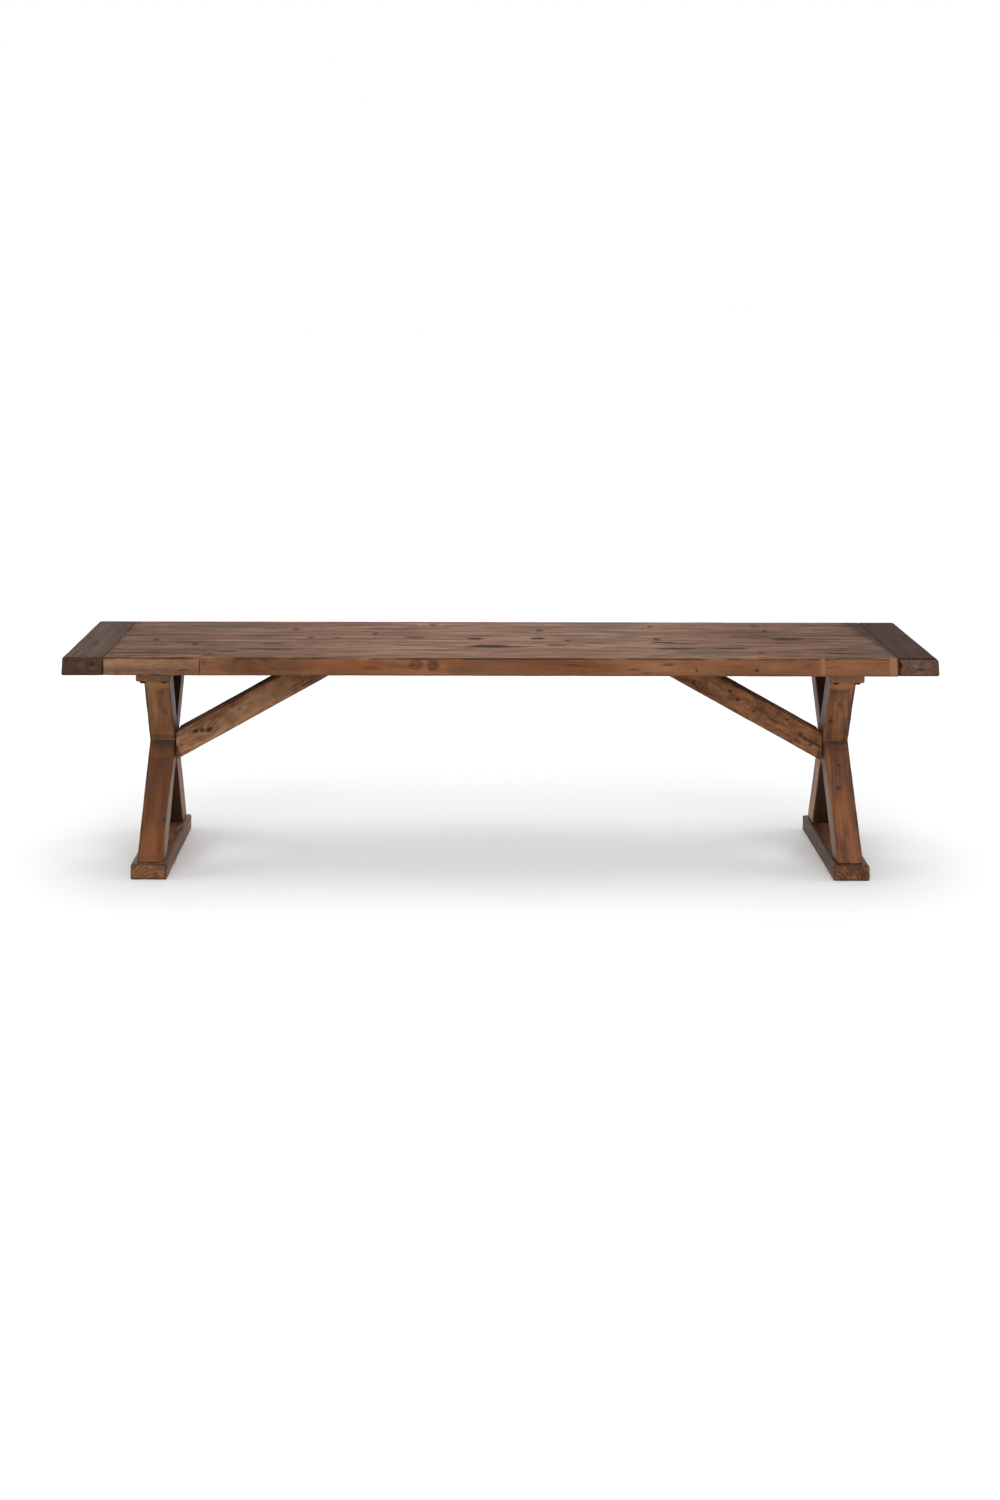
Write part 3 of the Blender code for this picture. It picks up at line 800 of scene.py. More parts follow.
def top_wood(grain, look, tone, waves, shade):
    """The faces that look up: finely lined, paler to the middle, green in places and dark at the ends."""
    graph, top, upward = grain.graph, look.top, grain.upward
    colours = bpy.context.scene.bench_colours
    to_middle = graph.smooth(graph.math("ABSOLUTE", graph.split(grain.where)[0]), FADE_FROM, FADE_TO)
    lined = (tone + waves["streak"] * -0.45 + grain.swing("fine", top.streaks * 1.6)
             + waves["band"] * top.bands + (to_middle - 0.5) * top.fade)
    shade = graph.mix(upward, shade, tones(graph, lined, top))
    shade = graph.mix(grain.patches("moss", 0.54, 0.70) * upward * top.moss, shade, colours.moss)
    for side, (reach, strength) in zip((-1, 1), look.dark_ends):
        torn = grain.bar.length / 2 - grain.axes[0] * side + waves["streak"] * (1.8 * reach)
        near = graph.smooth(torn, 1.1 * reach, 0.4 * reach)
        shade = graph.mix(near * upward * strength, shade, colours.board_dark)
    return shade


def end_wood(grain, look, radius):
    """End grain: arcs of the rings, with pale and dark patches."""
    graph = grain.graph
    plain = times(look.middle, *look.ends)
    turns = radius * (0.45 / look.ring_gap) + grain.pattern("swirl") * 1.6
    arcs = graph.smooth(graph.math("PINGPONG", turns, 0.5), 0.1, 0.4)
    wood = graph.mix(arcs, times(plain, 1 - 0.75 * look.arcs), times(plain, 1 + 0.5 * look.arcs))
    pale = grain.patches("end_pale", 0.50, 0.62) * min(0.75, 1.6 * look.arcs)
    wood = graph.mix(pale, wood, times(plain, 2.0, 1.7, 1.45))
    dark = grain.patches("end_dark", 0.50, 0.38) * min(0.70, 1.6 * look.arcs)
    return graph.mix(dark, wood, times(plain, 0.35))


def worn_edges(grain, look, streak, shade):
    """Stain along the arrises, rubbed through in places. Returns the shade and where the arrises are."""
    graph, bar = grain.graph, grain.bar
    colours = bpy.context.scene.bench_colours
    reach = bpy.context.scene.bench_timber.edge_reach
    to_end, to_side, to_face = (size / 2 - graph.math("ABSOLUTE", axis)
                                for size, axis in zip((bar.length, bar.width, bar.depth), grain.axes))
    larger = graph.math("MAXIMUM", to_side, to_face)
    smaller = graph.math("MINIMUM", to_side, to_face)
    nearest = larger if look.butted else graph.math("MAXIMUM", smaller, graph.math("MINIMUM", larger, to_end))
    ragged = nearest + grain.swing("arris", 1.1 * reach)
    arris = graph.smooth(ragged, 0.5 * reach * look.rim, -0.1 * reach)
    if look.top:
        arris = arris * (1 - grain.upward * 0.75)
    shade = graph.mix(arris * look.glaze, shade, colours.stain)
    polish = grain.patches("polish", 0.56, 0.70) * graph.smooth(nearest, 0.35 * reach, 0.05 * reach)
    shade = graph.mix(polish * 0.45, shade, look.pale)
    if look.lip:
        from_front = bar.width / 2 + grain.axes[1]
        pale = graph.smooth(from_front + streak * 0.006, 0.012, 0.007) * grain.upward
        shade = graph.mix(pale * grain.patches("lip", 0.42, 0.58) * look.lip, shade, look.pale)
        to_arris = from_front + bar.depth / 2 - grain.axes[2] + streak * 0.002
        line = graph.smooth(to_arris, 0.0044, 0.0034) * grain.patches("lip_line", 0.34, 0.48)
        shade = graph.mix(line * 0.65, shade, colours.stain)
    return shade, arris


# The spread at which a mark begins to show, the spread at which it is full, and its colour. Some kinds also
# paint light: the pale wash lifts shade on the legs, the shade kind paints shade on them, and the pale
# greyish kind paints a sheen on their inner sides
MARK_FADES = {
    "ember": (1.3, 0.1, "ember"),
    "wash": (1.3, 0.1, "pale"),
    "pale": (1.25, 0.65, "pale"),
    "bloom": (1.2, 0.5, "bloom"),
    "shade": (1.2, 0.5, "stain"),
    "check": (1.2, 0.3, "stain"),
    "stain": (1.4, 0.3, "stain"),
    "hole": (1.4, 0.3, "stain"),
}


def paint_marks(grain, look, wobble, blotch, shade, sunk):
    """Knots, stains, tints and painted light, shade and sheen over a shade. Returns it and how deep the face
    is sunk.
    """
    graph, bar = grain.graph, grain.bar
    colours = bpy.context.scene.bench_colours
    masks = {}
    for mark in bar.marks:
        outward = tuple(facing(bar, mark))
        if outward not in masks:
            masks[outward] = graph.smooth(graph.dot(grain.normal, outward), 0.25, 0.65)
        here = masks[outward] * mark.strength
        spread = grain.spread(mark, wobble)
        if mark.kind == "knot":
            shade = graph.mix(graph.smooth(spread, 3.2, 0.9) * here * 0.40, shade, look.dark)
            core = graph.smooth(spread, 1.15, 0.65) * here
            shade = graph.mix(core * 0.80, shade, colours.stain)
            rings = graph.smooth(graph.math("FRACT", spread * 2.3), 0.5, 0.9)
            shade = graph.mix(core * rings * 0.35, shade, look.middle)
            sunk = sunk + core * 0.6
        elif mark.kind == "eye":
            broken = spread + grain.swing("eye", 3.4)
            shade = graph.mix(graph.smooth(spread, 3.0, 1.0) * here * 0.5, shade, look.dark)
            rim = graph.smooth(broken, 0.1, 0.6) * graph.smooth(broken, 1.9, 1.0)
            shade = graph.mix(rim * here * 0.45, shade, colours.stain)
            shade = graph.mix(graph.smooth(spread, 0.45, 0.05) * here * 0.35, shade, colours.stain)
        else:
            begins, full, ink = MARK_FADES[mark.kind]
            if mark.kind == "check":
                spread = spread * CHECK_SOAK
            elif mark.kind in ("stain", "hole"):
                spread = spread + blotch * 1.2
            ink = look.pale if ink == "pale" else getattr(colours, ink)
            shade = graph.mix(graph.smooth(spread, begins, full) * here, shade, ink)
    return shade, sunk


def pine(bar, look):
    """The pine of one bar: growth rings about its pith, under a worn and blotchy stain and its marks."""
    colours = bpy.context.scene.bench_colours
    material, graph, shader = new_finish(bar.name + "_pine", look.roughness, gloss=look.gloss)
    grain = Grain(graph, bar)
    wobble = grain.swing("wobble", 0.9)
    radius, latewood = growth_rings(grain, look, wobble)
    waves = {name: grain.swing(name) for name in ("patch", "band", "streak", "blotch", "fibre")}
    tone = (0.5 + waves["patch"] * (1.4 * look.patches) + waves["band"] * (1.3 * look.bands)
            + waves["streak"] * (1.5 * look.streaks) + waves["blotch"] * (1.1 * look.blotches)
            + waves["fibre"] * 0.5 - latewood * look.rings)
    shade = tones(graph, tone, look)
    glow = grain.patches("ember", 0.56, 0.74) * look.ember
    if look.top:
        shade = top_wood(grain, look, tone, waves, shade)
        glow = glow * (1 - grain.upward)
    shade = graph.mix(glow, shade, colours.ember)
    flecks = grain.patches("fleck", 0.64, 0.74)
    shade = graph.mix(flecks * look.flecks, shade, colours.stain)
    end_grain = graph.smooth(graph.math("ABSOLUTE", graph.dot(grain.normal, bar.along)), 0.55, 0.85)
    shade = graph.mix(end_grain, shade, end_wood(grain, look, radius))
    shade, arris = worn_edges(grain, look, waves["streak"], shade)
    shade, sunk = paint_marks(grain, look, wobble, waves["blotch"], shade, flecks * 0.4)
    graph.feed(shader.inputs["Base Color"], shade)
    rough = look.roughness + waves["fibre"] * 0.25 + waves["blotch"] * 0.30 + arris * 0.05
    graph.feed(shader.inputs["Roughness"], rough)
    height = waves["fibre"] * 0.5 + waves["streak"] * 0.5 + latewood * 0.35 - sunk
    emboss(graph, shader, height, strength=0.45, distance=0.0006)
    return material


def metal(name, shade, roughness, metallic):
    """Blackened or plated metal, blotchy and a little pitted."""
    material, graph, shader = new_finish(name, roughness, metallic)
    where = graph.node("ShaderNodeTexCoord").outputs["Object"]
    blotch = graph.noise(where, 1.0, 420.0, 3.0, 0.6)
    pitting = graph.noise(where, 2.0, 1900.0, 2.0, 0.6)
    worn = tuple(part + 0.01 for part in times(shade, 1.5))
    blotched = graph.mix(graph.smooth(blotch, 0.35, 0.65), times(shade, 0.6), worn)
    graph.feed(shader.inputs["Base Color"], blotched)
    graph.feed(shader.inputs["Roughness"], roughness + (blotch - 0.5) * 0.4)
    emboss(graph, shader, pitting, strength=0.3, distance=0.0002)
    return material


def peg_beech(name, shade):
    """Plain beech with the fine flecks of its rays, along Z."""
    material, graph, shader = new_finish(name, 0.6)
    where = graph.node("ShaderNodeTexCoord").outputs["Object"]
    drawn = graph.vector("MULTIPLY", where, (900, 900, 60))
    fibre = graph.noise(drawn, 3.0, 1.0, 2.0, 0.6)
    flecked = graph.mix(graph.smooth(fibre, 0.35, 0.65), times(shade, 0.62), shade)
    graph.feed(shader.inputs["Base Color"], flecked)
    emboss(graph, shader, fibre, strength=0.3, distance=0.0002)
    return material


def looks():
    """The finish of each kind of wooden piece."""
    colours = bpy.context.scene.bench_colours

    def stained(kind, **strengths):
        return Look(*(getattr(colours, f"{kind}_{tone}") for tone in ("pale", "middle", "dark")), **strengths)

    seat = stained("seat", bands=-0.35, streaks=1.3, moss=0.5, fade=0.32)
    front = stained("edge", patches=0.35, bands=0.6, streaks=0.6, blotches=0.5, rings=0.18, ember=0.3,
                    gloss=0.02, roughness=0.60, top=seat)
    board = stained("board", patches=1.3, bands=0.8, streaks=0.8, rings=0.12, ember=0.0, gloss=0.04,
                    roughness=0.62)
    leg = stained("leg", patches=0.7, gloss=0.2, glaze=0.9)
    # Painted shade: the braces' upper faces lie in the seat's shade and get this flat tone instead of the
    # braces' wood
    shaded_brace_top = Look(colours.brace_top_shade, colours.brace_top_shade, times(colours.brace_top_shade, 0.5))
    brace = stained("brace", patches=0.6, bands=0.8, streaks=0.7, blotches=1.6, ember=0.2, gloss=0.0,
                    roughness=0.7, glaze=0.9, top=shaded_brace_top)
    return {"seat_pine": front, "board_end_pine": board, "trestle_pine": leg, "foot_pine": leg,
            "brace_pine": brace}


# How single bars' wood differs from their kind's: multiples of red, green and blue, and other changes
BAR_CHANGES = {
    "seat_plank_1_short": ((1.38, 1.72, 2.15), {
        "ember": 0.1, "blotches": 0.8, "lip": 0.6, "dark_ends": ((0.014, 0.25),)}),
    "seat_plank_1_long": ((1.30, 1.36, 1.49), {"lip": 0.6, "dark_ends": ((0.001, 0.0), (0.014, 0.5))}),
    "seat_plank_2": ((1.02, 1.02, 1.02), {"dark_ends": ((0.012, 0.35), (0.018, 0.7))}),
    "seat_plank_3": ((1.02, 1.02, 1.02), {"dark_ends": ((0.012, 0.35), (0.022, 0.75))}),
    "seat_plank_4": ((0.97, 0.97, 0.97), {"dark_ends": ((0.014, 0.35), (0.038, 0.8))}),
    "seat_plank_5": ((1.0, 1.0, 1.0), {"dark_ends": ((0.016, 0.35), (0.060, 0.85))}),
    "left_breadboard_end": ((1.04, 1.01, 1.03), {
        "patches": 0.8, "bands": 0.3, "streaks": 0.6, "ends": (1.25, 1.19, 1.2), "arcs": 0.12}),
    "right_breadboard_end": ((0.57, 0.38, 0.32), {
        "patches": 0.9, "bands": 0.4, "ends": (4.1, 5.5, 6.6), "arcs": 0.2}),
    "left_crossbar": ((1.03, 1.15, 1.19), {"ends": (1.4, 1.53, 1.65), "arcs": 0.12}),
    "right_crossbar": ((1.19, 1.27, 1.41), {"ends": (1.55, 1.65, 1.85), "arcs": 0.12}),
    "left_leg_rising_to_front": ((1.38, 1.48, 1.42), {
        "ember": 0.0, "blotches": 0.5, "streaks": 0.8, "rings": 0.15, "flecks": 0.2, "butted": True}),
    "left_leg_rising_to_back": ((0.90, 0.66, 0.26), {
        "ember": 0.0, "patches": 0.2, "blotches": 0.4, "bands": 0.5, "streaks": 0.6, "flecks": 0.2,
        "butted": True}),
    "right_leg_rising_to_front": ((1.54, 1.57, 1.42), {"ember": 0.15, "flecks": 0.3, "butted": True}),
    "right_leg_rising_to_back": ((0.77, 0.645, 0.53), {
        "ember": 0.8, "streaks": 1.8, "flecks": 0.3, "butted": True}),
    "left_foot_rail": ((1.0, 1.02, 1.04), {"ends": (1.33, 1.40, 1.40), "rim": 1.7, "arcs": 0.35}),
    "right_foot_rail": ((0.95, 0.95, 0.97), {"ends": (1.0, 1.0, 1.0), "rim": 1.5, "arcs": 0.45}),
    "left_brace": ((1.50, 1.62, 1.84), {"glaze": 0.6, "blotches": 1.2}),
    "right_brace": ((1.76, 1.72, 1.68), {"glaze": 0.6, "blotches": 1.2}),
}


def hand_over(piece, nodes):
    """Sets a finished piece on the root body, and hides the solids that it stands for."""
    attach(piece, "root")
    if nodes:
        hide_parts(*nodes)


def make_timber(bar, slot, cutters=(), additions=()):
    """Builds, weathers, cuts and dresses one wooden piece, which stands for its solid."""
    timber = bpy.context.scene.bench_timber
    tint, changes = BAR_CHANGES[bar.name]
    look = looks()[slot].tinted(*tint, **changes)
    piece = add_object(bar.name, bar_mesh(bar, timber.mesh_step, timber.edge_reach))
    stretch = [1 + 3 * abs(part) for part in bar.along]
    tree = bpy.data.node_groups.get("weather_timber") or weathering_tree()
    apply_tree(piece, tree, {"Seed": float(bar.seed), "Stretch": stretch, "Undulation": timber.undulation,
                             "Wave": timber.wave, "Edge wear": timber.edge_wear, "Finish": pine(bar, look)})
    for addition in additions:
        cut(piece, addition, "UNION")
    for cutter in cutters:
        cut(piece, cutter)
    marks = carve_marks(piece, bar)
    settle(piece)
    for used in (*additions, *cutters, marks):
        if used:
            bpy.data.objects.remove(used)
    hand_over(piece, [bar.name])


# The spare round a fastener's head in its pocket, the pocket's straight rim and its full depth, and the share
# of its width that is left there
POCKET_SPARE = 0.0004
POCKET_RIM = 0.001
POCKET_DEPTH = 0.0045
POCKET_FLOOR_SHARE = 0.55
POCKET_SIDES = 20
UPWARDS = (0, 0, 1)


def pockets(name, nodes, aim, outside, straight=0.0):
    """Cuts a pocket round each fastener's head, from outside it: countersunk, or straight to a depth."""
    axis = max(range(3), key=lambda index: abs(aim[index]))
    shape = bmesh.new()
    for node in nodes:
        low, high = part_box(node)
        radius = (high - low)[2 - axis] / 2 + POCKET_SPARE
        head = (low + high) / 2
        head[axis] = low[axis] if aim[axis] > 0 else high[axis]
        inside = [(radius, POCKET_RIM), (radius * POCKET_FLOOR_SHARE, POCKET_DEPTH), (0, POCKET_DEPTH)]
        if straight:
            inside = [(radius, straight), (0, straight)]
        outline = [(0, -outside), (radius, -outside), *inside]
        add_shape(shape, turned_shape(outline, POCKET_SIDES), head, aim)
    return make_cutter(name, shape)


def rail_bar(word, kind, side, roundings, end_rounding):
    """A bar along Y that fills its solid's box."""
    name = f"{word}_{kind}"
    low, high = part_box(name)
    ends = [crosswise_section(y, low.x, high.x, low.z, high.z) for y in (low.y, high.y)]
    return Bar(name, *ends, high.x - low.x, high.z - low.z, SEEDS[kind] + side, roundings, end_rounding,
               end_rounding)


def block(name, low, high):
    """A plain block, only ever used to cut or to join."""
    shape = bmesh.new()
    bmesh.ops.create_cube(shape, size=1.0)
    size = Vector(high) - Vector(low)
    shape.transform(Matrix.Translation((Vector(low) + Vector(high)) / 2) @ Matrix.Diagonal((*size, 1)))
    return make_cutter(name, shape)


def prism(name, outline, axis, low, high):
    """An outline drawn across an axis (0 is X, 1 is Y, 2 is Z) and extruded along it, as a cutter."""
    across = [index for index in range(3) if index != axis]
    shape = bmesh.new()
    caps = []
    for level in (low, high):
        cap = []
        for first, second in outline:
            place = Vector()
            place[across[0]], place[across[1]], place[axis] = first, second, level
            cap.append(shape.verts.new(place))
        caps.append(cap)
    for index in range(len(outline)):
        after = (index + 1) % len(outline)
        shape.faces.new((caps[0][index], caps[0][after], caps[1][after], caps[1][index]))
    for cap in caps:
        shape.faces.new(cap)
    return make_cutter(name, shape)


def node_points(node):
    """The corners of a solid's mesh as an array."""
    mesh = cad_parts[node].data
    points = np.empty(len(mesh.vertices) * 3, np.float32)
    mesh.vertices.foreach_get("co", points)
    return points.reshape(-1, 3).astype(float)


def face_span(node, axis, at_high):
    """The lowest and highest corner of the flat face that ends a solid along an axis."""
    points = node_points(node)
    level = points[:, axis].max() if at_high else points[:, axis].min()
    on_face = points[np.abs(points[:, axis] - level) < ON_FACE]
    return on_face.min(0), on_face.max(0)


def lengthwise_section(x, low_y, high_y, low_z, high_z):
    """The corners of a section across X, for a bar that runs along X."""
    return [(x, low_y, low_z), (x, high_y, low_z), (x, high_y, high_z), (x, low_y, high_z)]


def crosswise_section(y, low_x, high_x, low_z, high_z):
    """The corners of a section across Y, for a bar that runs along Y. Across goes towards the left."""
    return [(high_x, y, low_z), (low_x, y, low_z), (low_x, y, high_z), (high_x, y, high_z)]


# Marks that the photograph shows on the planks: kind, x, y, half width, stretch
TOP_MARKS = (
    ("knot", -0.441, 0.094, 0.0110, 0.55),
    ("knot", -0.401, 0.011, 0.0090, 0.70),
    ("knot", -0.345, 0.007, 0.0060, 1.60),
    ("knot", -0.639, -0.052, 0.0110, 0.60),
    ("knot", -0.728, -0.012, 0.0110, 0.60),
    ("knot", -0.595, -0.143, 0.0075, 0.70),
    ("check", -0.565, -0.124, 0.0018, 5),
    ("check", -0.482, -0.048, 0.0018, 6),
    ("check", -0.479, -0.100, 0.0020, 14),
    ("knot", -0.266, 0.052, 0.0100, 0.70),
    ("check", -0.182, 0.013, 0.0020, 5),
    ("knot", -0.143, 0.140, 0.0080, 1.10),
    ("stain", -0.049, 0.003, 0.0100, 2.20),
    ("stain", -0.020, -0.070, 0.0150, 2.80),
    ("check", -0.012, -0.076, 0.0030, 9),
    ("stain", 0.083, 0.005, 0.0110, 1.60),
    ("knot", 0.090, 0.086, 0.0100, 0.80),
    ("check", 0.119, -0.058, 0.0022, 4),
    ("knot", 0.146, -0.016, 0.0080, 0.80),
    ("knot", 0.336, -0.003, 0.0120, 0.60),
    ("knot", 0.335, 0.129, 0.0080, 0.80),
    ("check", 0.346, -0.032, 0.0026, 4),
    ("check", 0.368, -0.090, 0.0026, 7),
    ("check", 0.400, -0.044, 0.0018, 5),
    ("check", 0.480, -0.088, 0.0024, 6),
    ("knot", 0.538, -0.128, 0.0090, 1.20),
    ("knot", 0.566, 0.134, 0.0080, 1.00),
    ("knot", 0.580, 0.082, 0.0120, 0.60),
    ("check", 0.622, -0.002, 0.0018, 6),
    ("stain", 0.610, 0.004, 0.0120, 3.0),
    ("check", 0.690, -0.130, 0.0020, 5),
)

# Marks on the front plank's face: kind, x, z, half width, stretch, strength
FRONT_MARKS = (
    ("eye", -0.172, 0.4430, 0.0080, 1.5, 0.75),
    ("eye", -0.137, 0.4420, 0.0085, 1.1, 0.95),
    ("ember", -0.095, 0.4490, 0.0070, 4.5, 0.7),
    ("shade", -0.488, 0.4390, 0.0320, 2.8, 0.06),
    ("ember", -0.300, 0.4420, 0.0160, 6.0, 0.30),
    ("shade", 0.050, 0.4390, 0.0320, 5.5, 0.18),
    ("ember", 0.120, 0.4390, 0.0160, 9.0, 0.25),
    ("knot", 0.397, 0.4330, 0.0026, 1.1, 0.9),
    ("knot", 0.519, 0.4330, 0.0032, 1.2, 0.9),
    ("stain", -0.525, 0.4390, 0.0200, 1.9, 0.20),
    ("wash", 0.720, 0.4390, 0.0300, 3.0, 0.22),
    ("stain", 0.040, 0.4390, 0.0300, 5.0, 0.15),
    ("stain", -0.6030, 0.4530, 0.0006, 11.0, 0.8),
    ("stain", -0.6030, 0.4495, 0.0006, 11.0, 0.8),
    ("stain", -0.6030, 0.4460, 0.0006, 11.0, 0.8),
    ("stain", -0.6030, 0.4425, 0.0006, 10.0, 0.7),
    ("stain", -0.6105, 0.4390, 0.0200, 0.06, 0.85),
    ("pale", 0.653, 0.4390, 0.0300, 0.16, 0.55),
    ("pale", 0.795, 0.4390, 0.0300, 0.28, 0.6),
)


def plank_bars():
    """The seat's planks. The front one is a short and a long bar, which overlap at their fingers."""
    timber = bpy.context.scene.bench_timber
    left_low, left_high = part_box("left_breadboard_end")
    low_x, low_z, high_z = left_high.x, left_low.z, left_high.z
    high_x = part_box("right_breadboard_end")[0].x
    fronts = [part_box(f"seat_plank_{plank}")[0].y for plank in ("1_long", 2, 3, 4, 5)]
    gap = plank_gap()
    backs = [front - gap for front in fronts[1:]] + [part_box("seat_plank_5")[1].y]
    finger_low, finger_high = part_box("seat_plank_1_long")[0].x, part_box("seat_plank_1_short")[1].x
    spans = {"seat_plank_1_short": (low_x, finger_high), "seat_plank_1_long": (finger_low, high_x)}
    outer, seam = timber.outer_rounding, timber.seam_rounding
    for index, (front, back) in enumerate(zip(fronts, backs)):
        names = ("seat_plank_1_short", "seat_plank_1_long") if index == 0 else (f"seat_plank_{index + 1}",)
        for name in names:
            start_x, end_x = spans.get(name, (low_x, high_x))
            marks = [Mark(kind, (x, y, high_z), half_width, stretch)
                     for kind, x, y, half_width, stretch in TOP_MARKS
                     if front < y < back and start_x < x < end_x]
            if index == 0:
                marks += [Mark(kind, (x, front, z), half_width, stretch, "side", strength)
                          for kind, x, z, half_width, stretch, strength in FRONT_MARKS if start_x < x < end_x]
            front_rounding = outer if index == 0 else seam
            back_rounding = outer if index == 4 else seam
            yield Bar(name, lengthwise_section(start_x, front, back, low_z, high_z),
                      lengthwise_section(end_x, front, back, low_z, high_z), back - front, high_z - low_z,
                      seed=index * 5 + len(name) % 7,
                      roundings=(front_rounding, back_rounding, back_rounding, front_rounding),
                      start_rounding=seam, end_rounding=seam, marks=marks)


def plank_gap():
    """The gap between neighbouring planks, from the width that the planks leave of the top."""
    fronts = [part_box(f"seat_plank_{index}")[0].y for index in range(2, 6)]
    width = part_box("seat_plank_5")[1].y - fronts[-1]
    return fronts[1] - fronts[0] - width


# The front plank's fingers, and the sides on which its two pieces keep them
FINGERS = 6
FINGER_KEEP = {"seat_plank_1_short": -1, "seat_plank_1_long": 1}


def finger_prism(keep, bar):
    """Cuts the front plank at its finger joint."""
    low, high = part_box("seat_plank_1_long")[0].x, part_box("seat_plank_1_short")[1].x
    front = bar.start[:, 1].min()
    pitch = bar.width / FINGERS
    middle, swing = (low + high) / 2, (high - low) / 2
    slack = plank_gap()
    outline = []
    for step in range(-2, 2 * FINGERS + 3):
        x = middle + (swing if step % 2 else -swing) + keep * slack
        outline.append((x, front + (step + 0.5) * pitch / 2))
    far = middle - keep * bar.length * 2
    outline += [(far, outline[-1][1]), (far, outline[0][1])]
    low_z, high_z = bar.start[:, 2].min(), bar.start[:, 2].max()
    return prism("fingers", outline, 2, low_z - bar.depth, high_z + bar.depth)


# How thick a plank's tongue is and how far it lies in from the plank's edges, as shares of the plank
TONGUE_DEPTH_SHARE = 0.28
TONGUE_INSET_SHARE = 0.2


def tongue_block(bar):
    """The hidden tongue and tenons of a plank, which close the seams from within."""
    low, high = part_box(bar.name)
    middle = (low.z + high.z) / 2
    half = bar.depth * TONGUE_DEPTH_SHARE / 2
    inset = bar.width * TONGUE_INSET_SHARE
    return block(bar.name + "_tongue", (low.x, low.y + inset, middle - half), (high.x, high.y, middle + half))


class BENCH_OT_seat_planks(bpy.types.Operator):
    """Makes the seat's planks, with their finger joint, knots and checks"""

    bl_idname = "bench.seat_planks"
    bl_label = "Seat planks"

    def execute(self, context):
        for bar in plank_bars():
            keep = FINGER_KEEP.get(bar.name)
            if keep:
                make_timber(bar, "seat_pine", cutters=[finger_prism(keep, bar)])
            else:
                make_timber(bar, "seat_pine", additions=[tongue_block(bar)])
        return {"FINISHED"}


# How many times the outer rounding each breadboard end's worn edges get
SOFTENED = {"left": 0.8, "right": 2.0}


class BENCH_OT_breadboard_ends(bpy.types.Operator):
    """Makes the two breadboard ends that close the planks"""

    bl_idname = "bench.breadboard_ends"
    bl_label = "Breadboard ends"

    def execute(self, context):
        timber = context.scene.bench_timber
        outer, seam = timber.outer_rounding, timber.seam_rounding
        for side, word in SIDES:
            low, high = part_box(f"{word}_breadboard_end")
            inner, outside = (low.x, high.x) if side > 0 else (high.x, low.x)
            ends = []
            for y in (low.y, high.y):
                section = crosswise_section(y, low.x, high.x, low.z, high.z)
                ends.append([(x, y, z) if x == inner else
                             (outside + side * timber.end_draft / (2 if z == low.z else -2), y, z)
                             for x, y, z in section])
            soft = outer * SOFTENED[word]
            roundings = (outer, seam, seam, soft) if side > 0 else (seam, outer, soft, seam)
            bar = Bar(f"{word}_breadboard_end", *ends, high.x - low.x, high.z - low.z,
                      seed=SEEDS["breadboard_end"] + side, roundings=roundings, start_rounding=soft,
                      end_rounding=outer, marks=board_end_marks(word, low, high))
            pegs = each(word, "breadboard_peg", PEG_PLACES)
            cutter = pockets(word + "_peg_pockets", pegs, UPWARDS, 0.004, straight=0.006)
            make_timber(bar, "board_end_pine", [cutter])
        return {"FINISHED"}


def board_end_marks(word, low, high):
    """Small checks and swirls on a breadboard end."""
    middle = (low.x + high.x) / 2
    if word == "left":
        scratches = [Mark("bloom", (middle + 0.024, low.y, 0.435), 0.0030, 4.0, "end", 0.09),
                     Mark("bloom", (middle - 0.002, low.y, 0.441), 0.0080, 1.1, "end", 0.09),
                     Mark("stain", (middle + 0.022, low.y, 0.444), 0.0040, 1.8, "end", 0.6)]
        return [Mark("check", (middle, -0.05, high.z), 0.0009, 16),
                Mark("hole", (middle + 0.02, 0.09, high.z), 0.0015), *scratches]
    swirls = [Mark("bloom", (middle - 0.006, low.y, 0.441), 0.0050, 1.4, "end", 0.16),
              Mark("bloom", (middle + 0.016, low.y, 0.443), 0.0060, 1.6, "end", 0.14),
              Mark("bloom", (middle - 0.002, low.y, 0.427), 0.0020, 3.0, "end", 0.25),
              Mark("stain", (middle + 0.004, low.y, 0.435), 0.0030, 4.0, "end", 0.5),
              Mark("stain", (low.x + 0.004, low.y, 0.444), 0.0080, 0.5, "end", 0.9)]
    return [Mark("knot", (middle - 0.012, -0.10, high.z), 0.0075, 1.6, strength=0.6),
            Mark("check", (middle + 0.01, 0.04, high.z), 0.0009, 20), *swirls]


# Roundings of the edges that lie against another piece
CROSSBAR_INNER_ROUNDING = 0.0025
FOOT_LOWER_ROUNDING = 0.002

# How far in from a foot rail's pads its relief is looked for
PAD_SPARE = 0.001


class BENCH_OT_crossbars(bpy.types.Operator):
    """Makes the crossbar under the top over each trestle"""

    bl_idname = "bench.crossbars"
    bl_label = "Crossbars"

    def execute(self, context):
        outer, inner = context.scene.bench_timber.rail_rounding, CROSSBAR_INNER_ROUNDING
        for side, word in SIDES:
            bar = rail_bar(word, "crossbar", side, (outer, outer, inner, inner), outer)
            make_timber(bar, "trestle_pine")
        return {"FINISHED"}
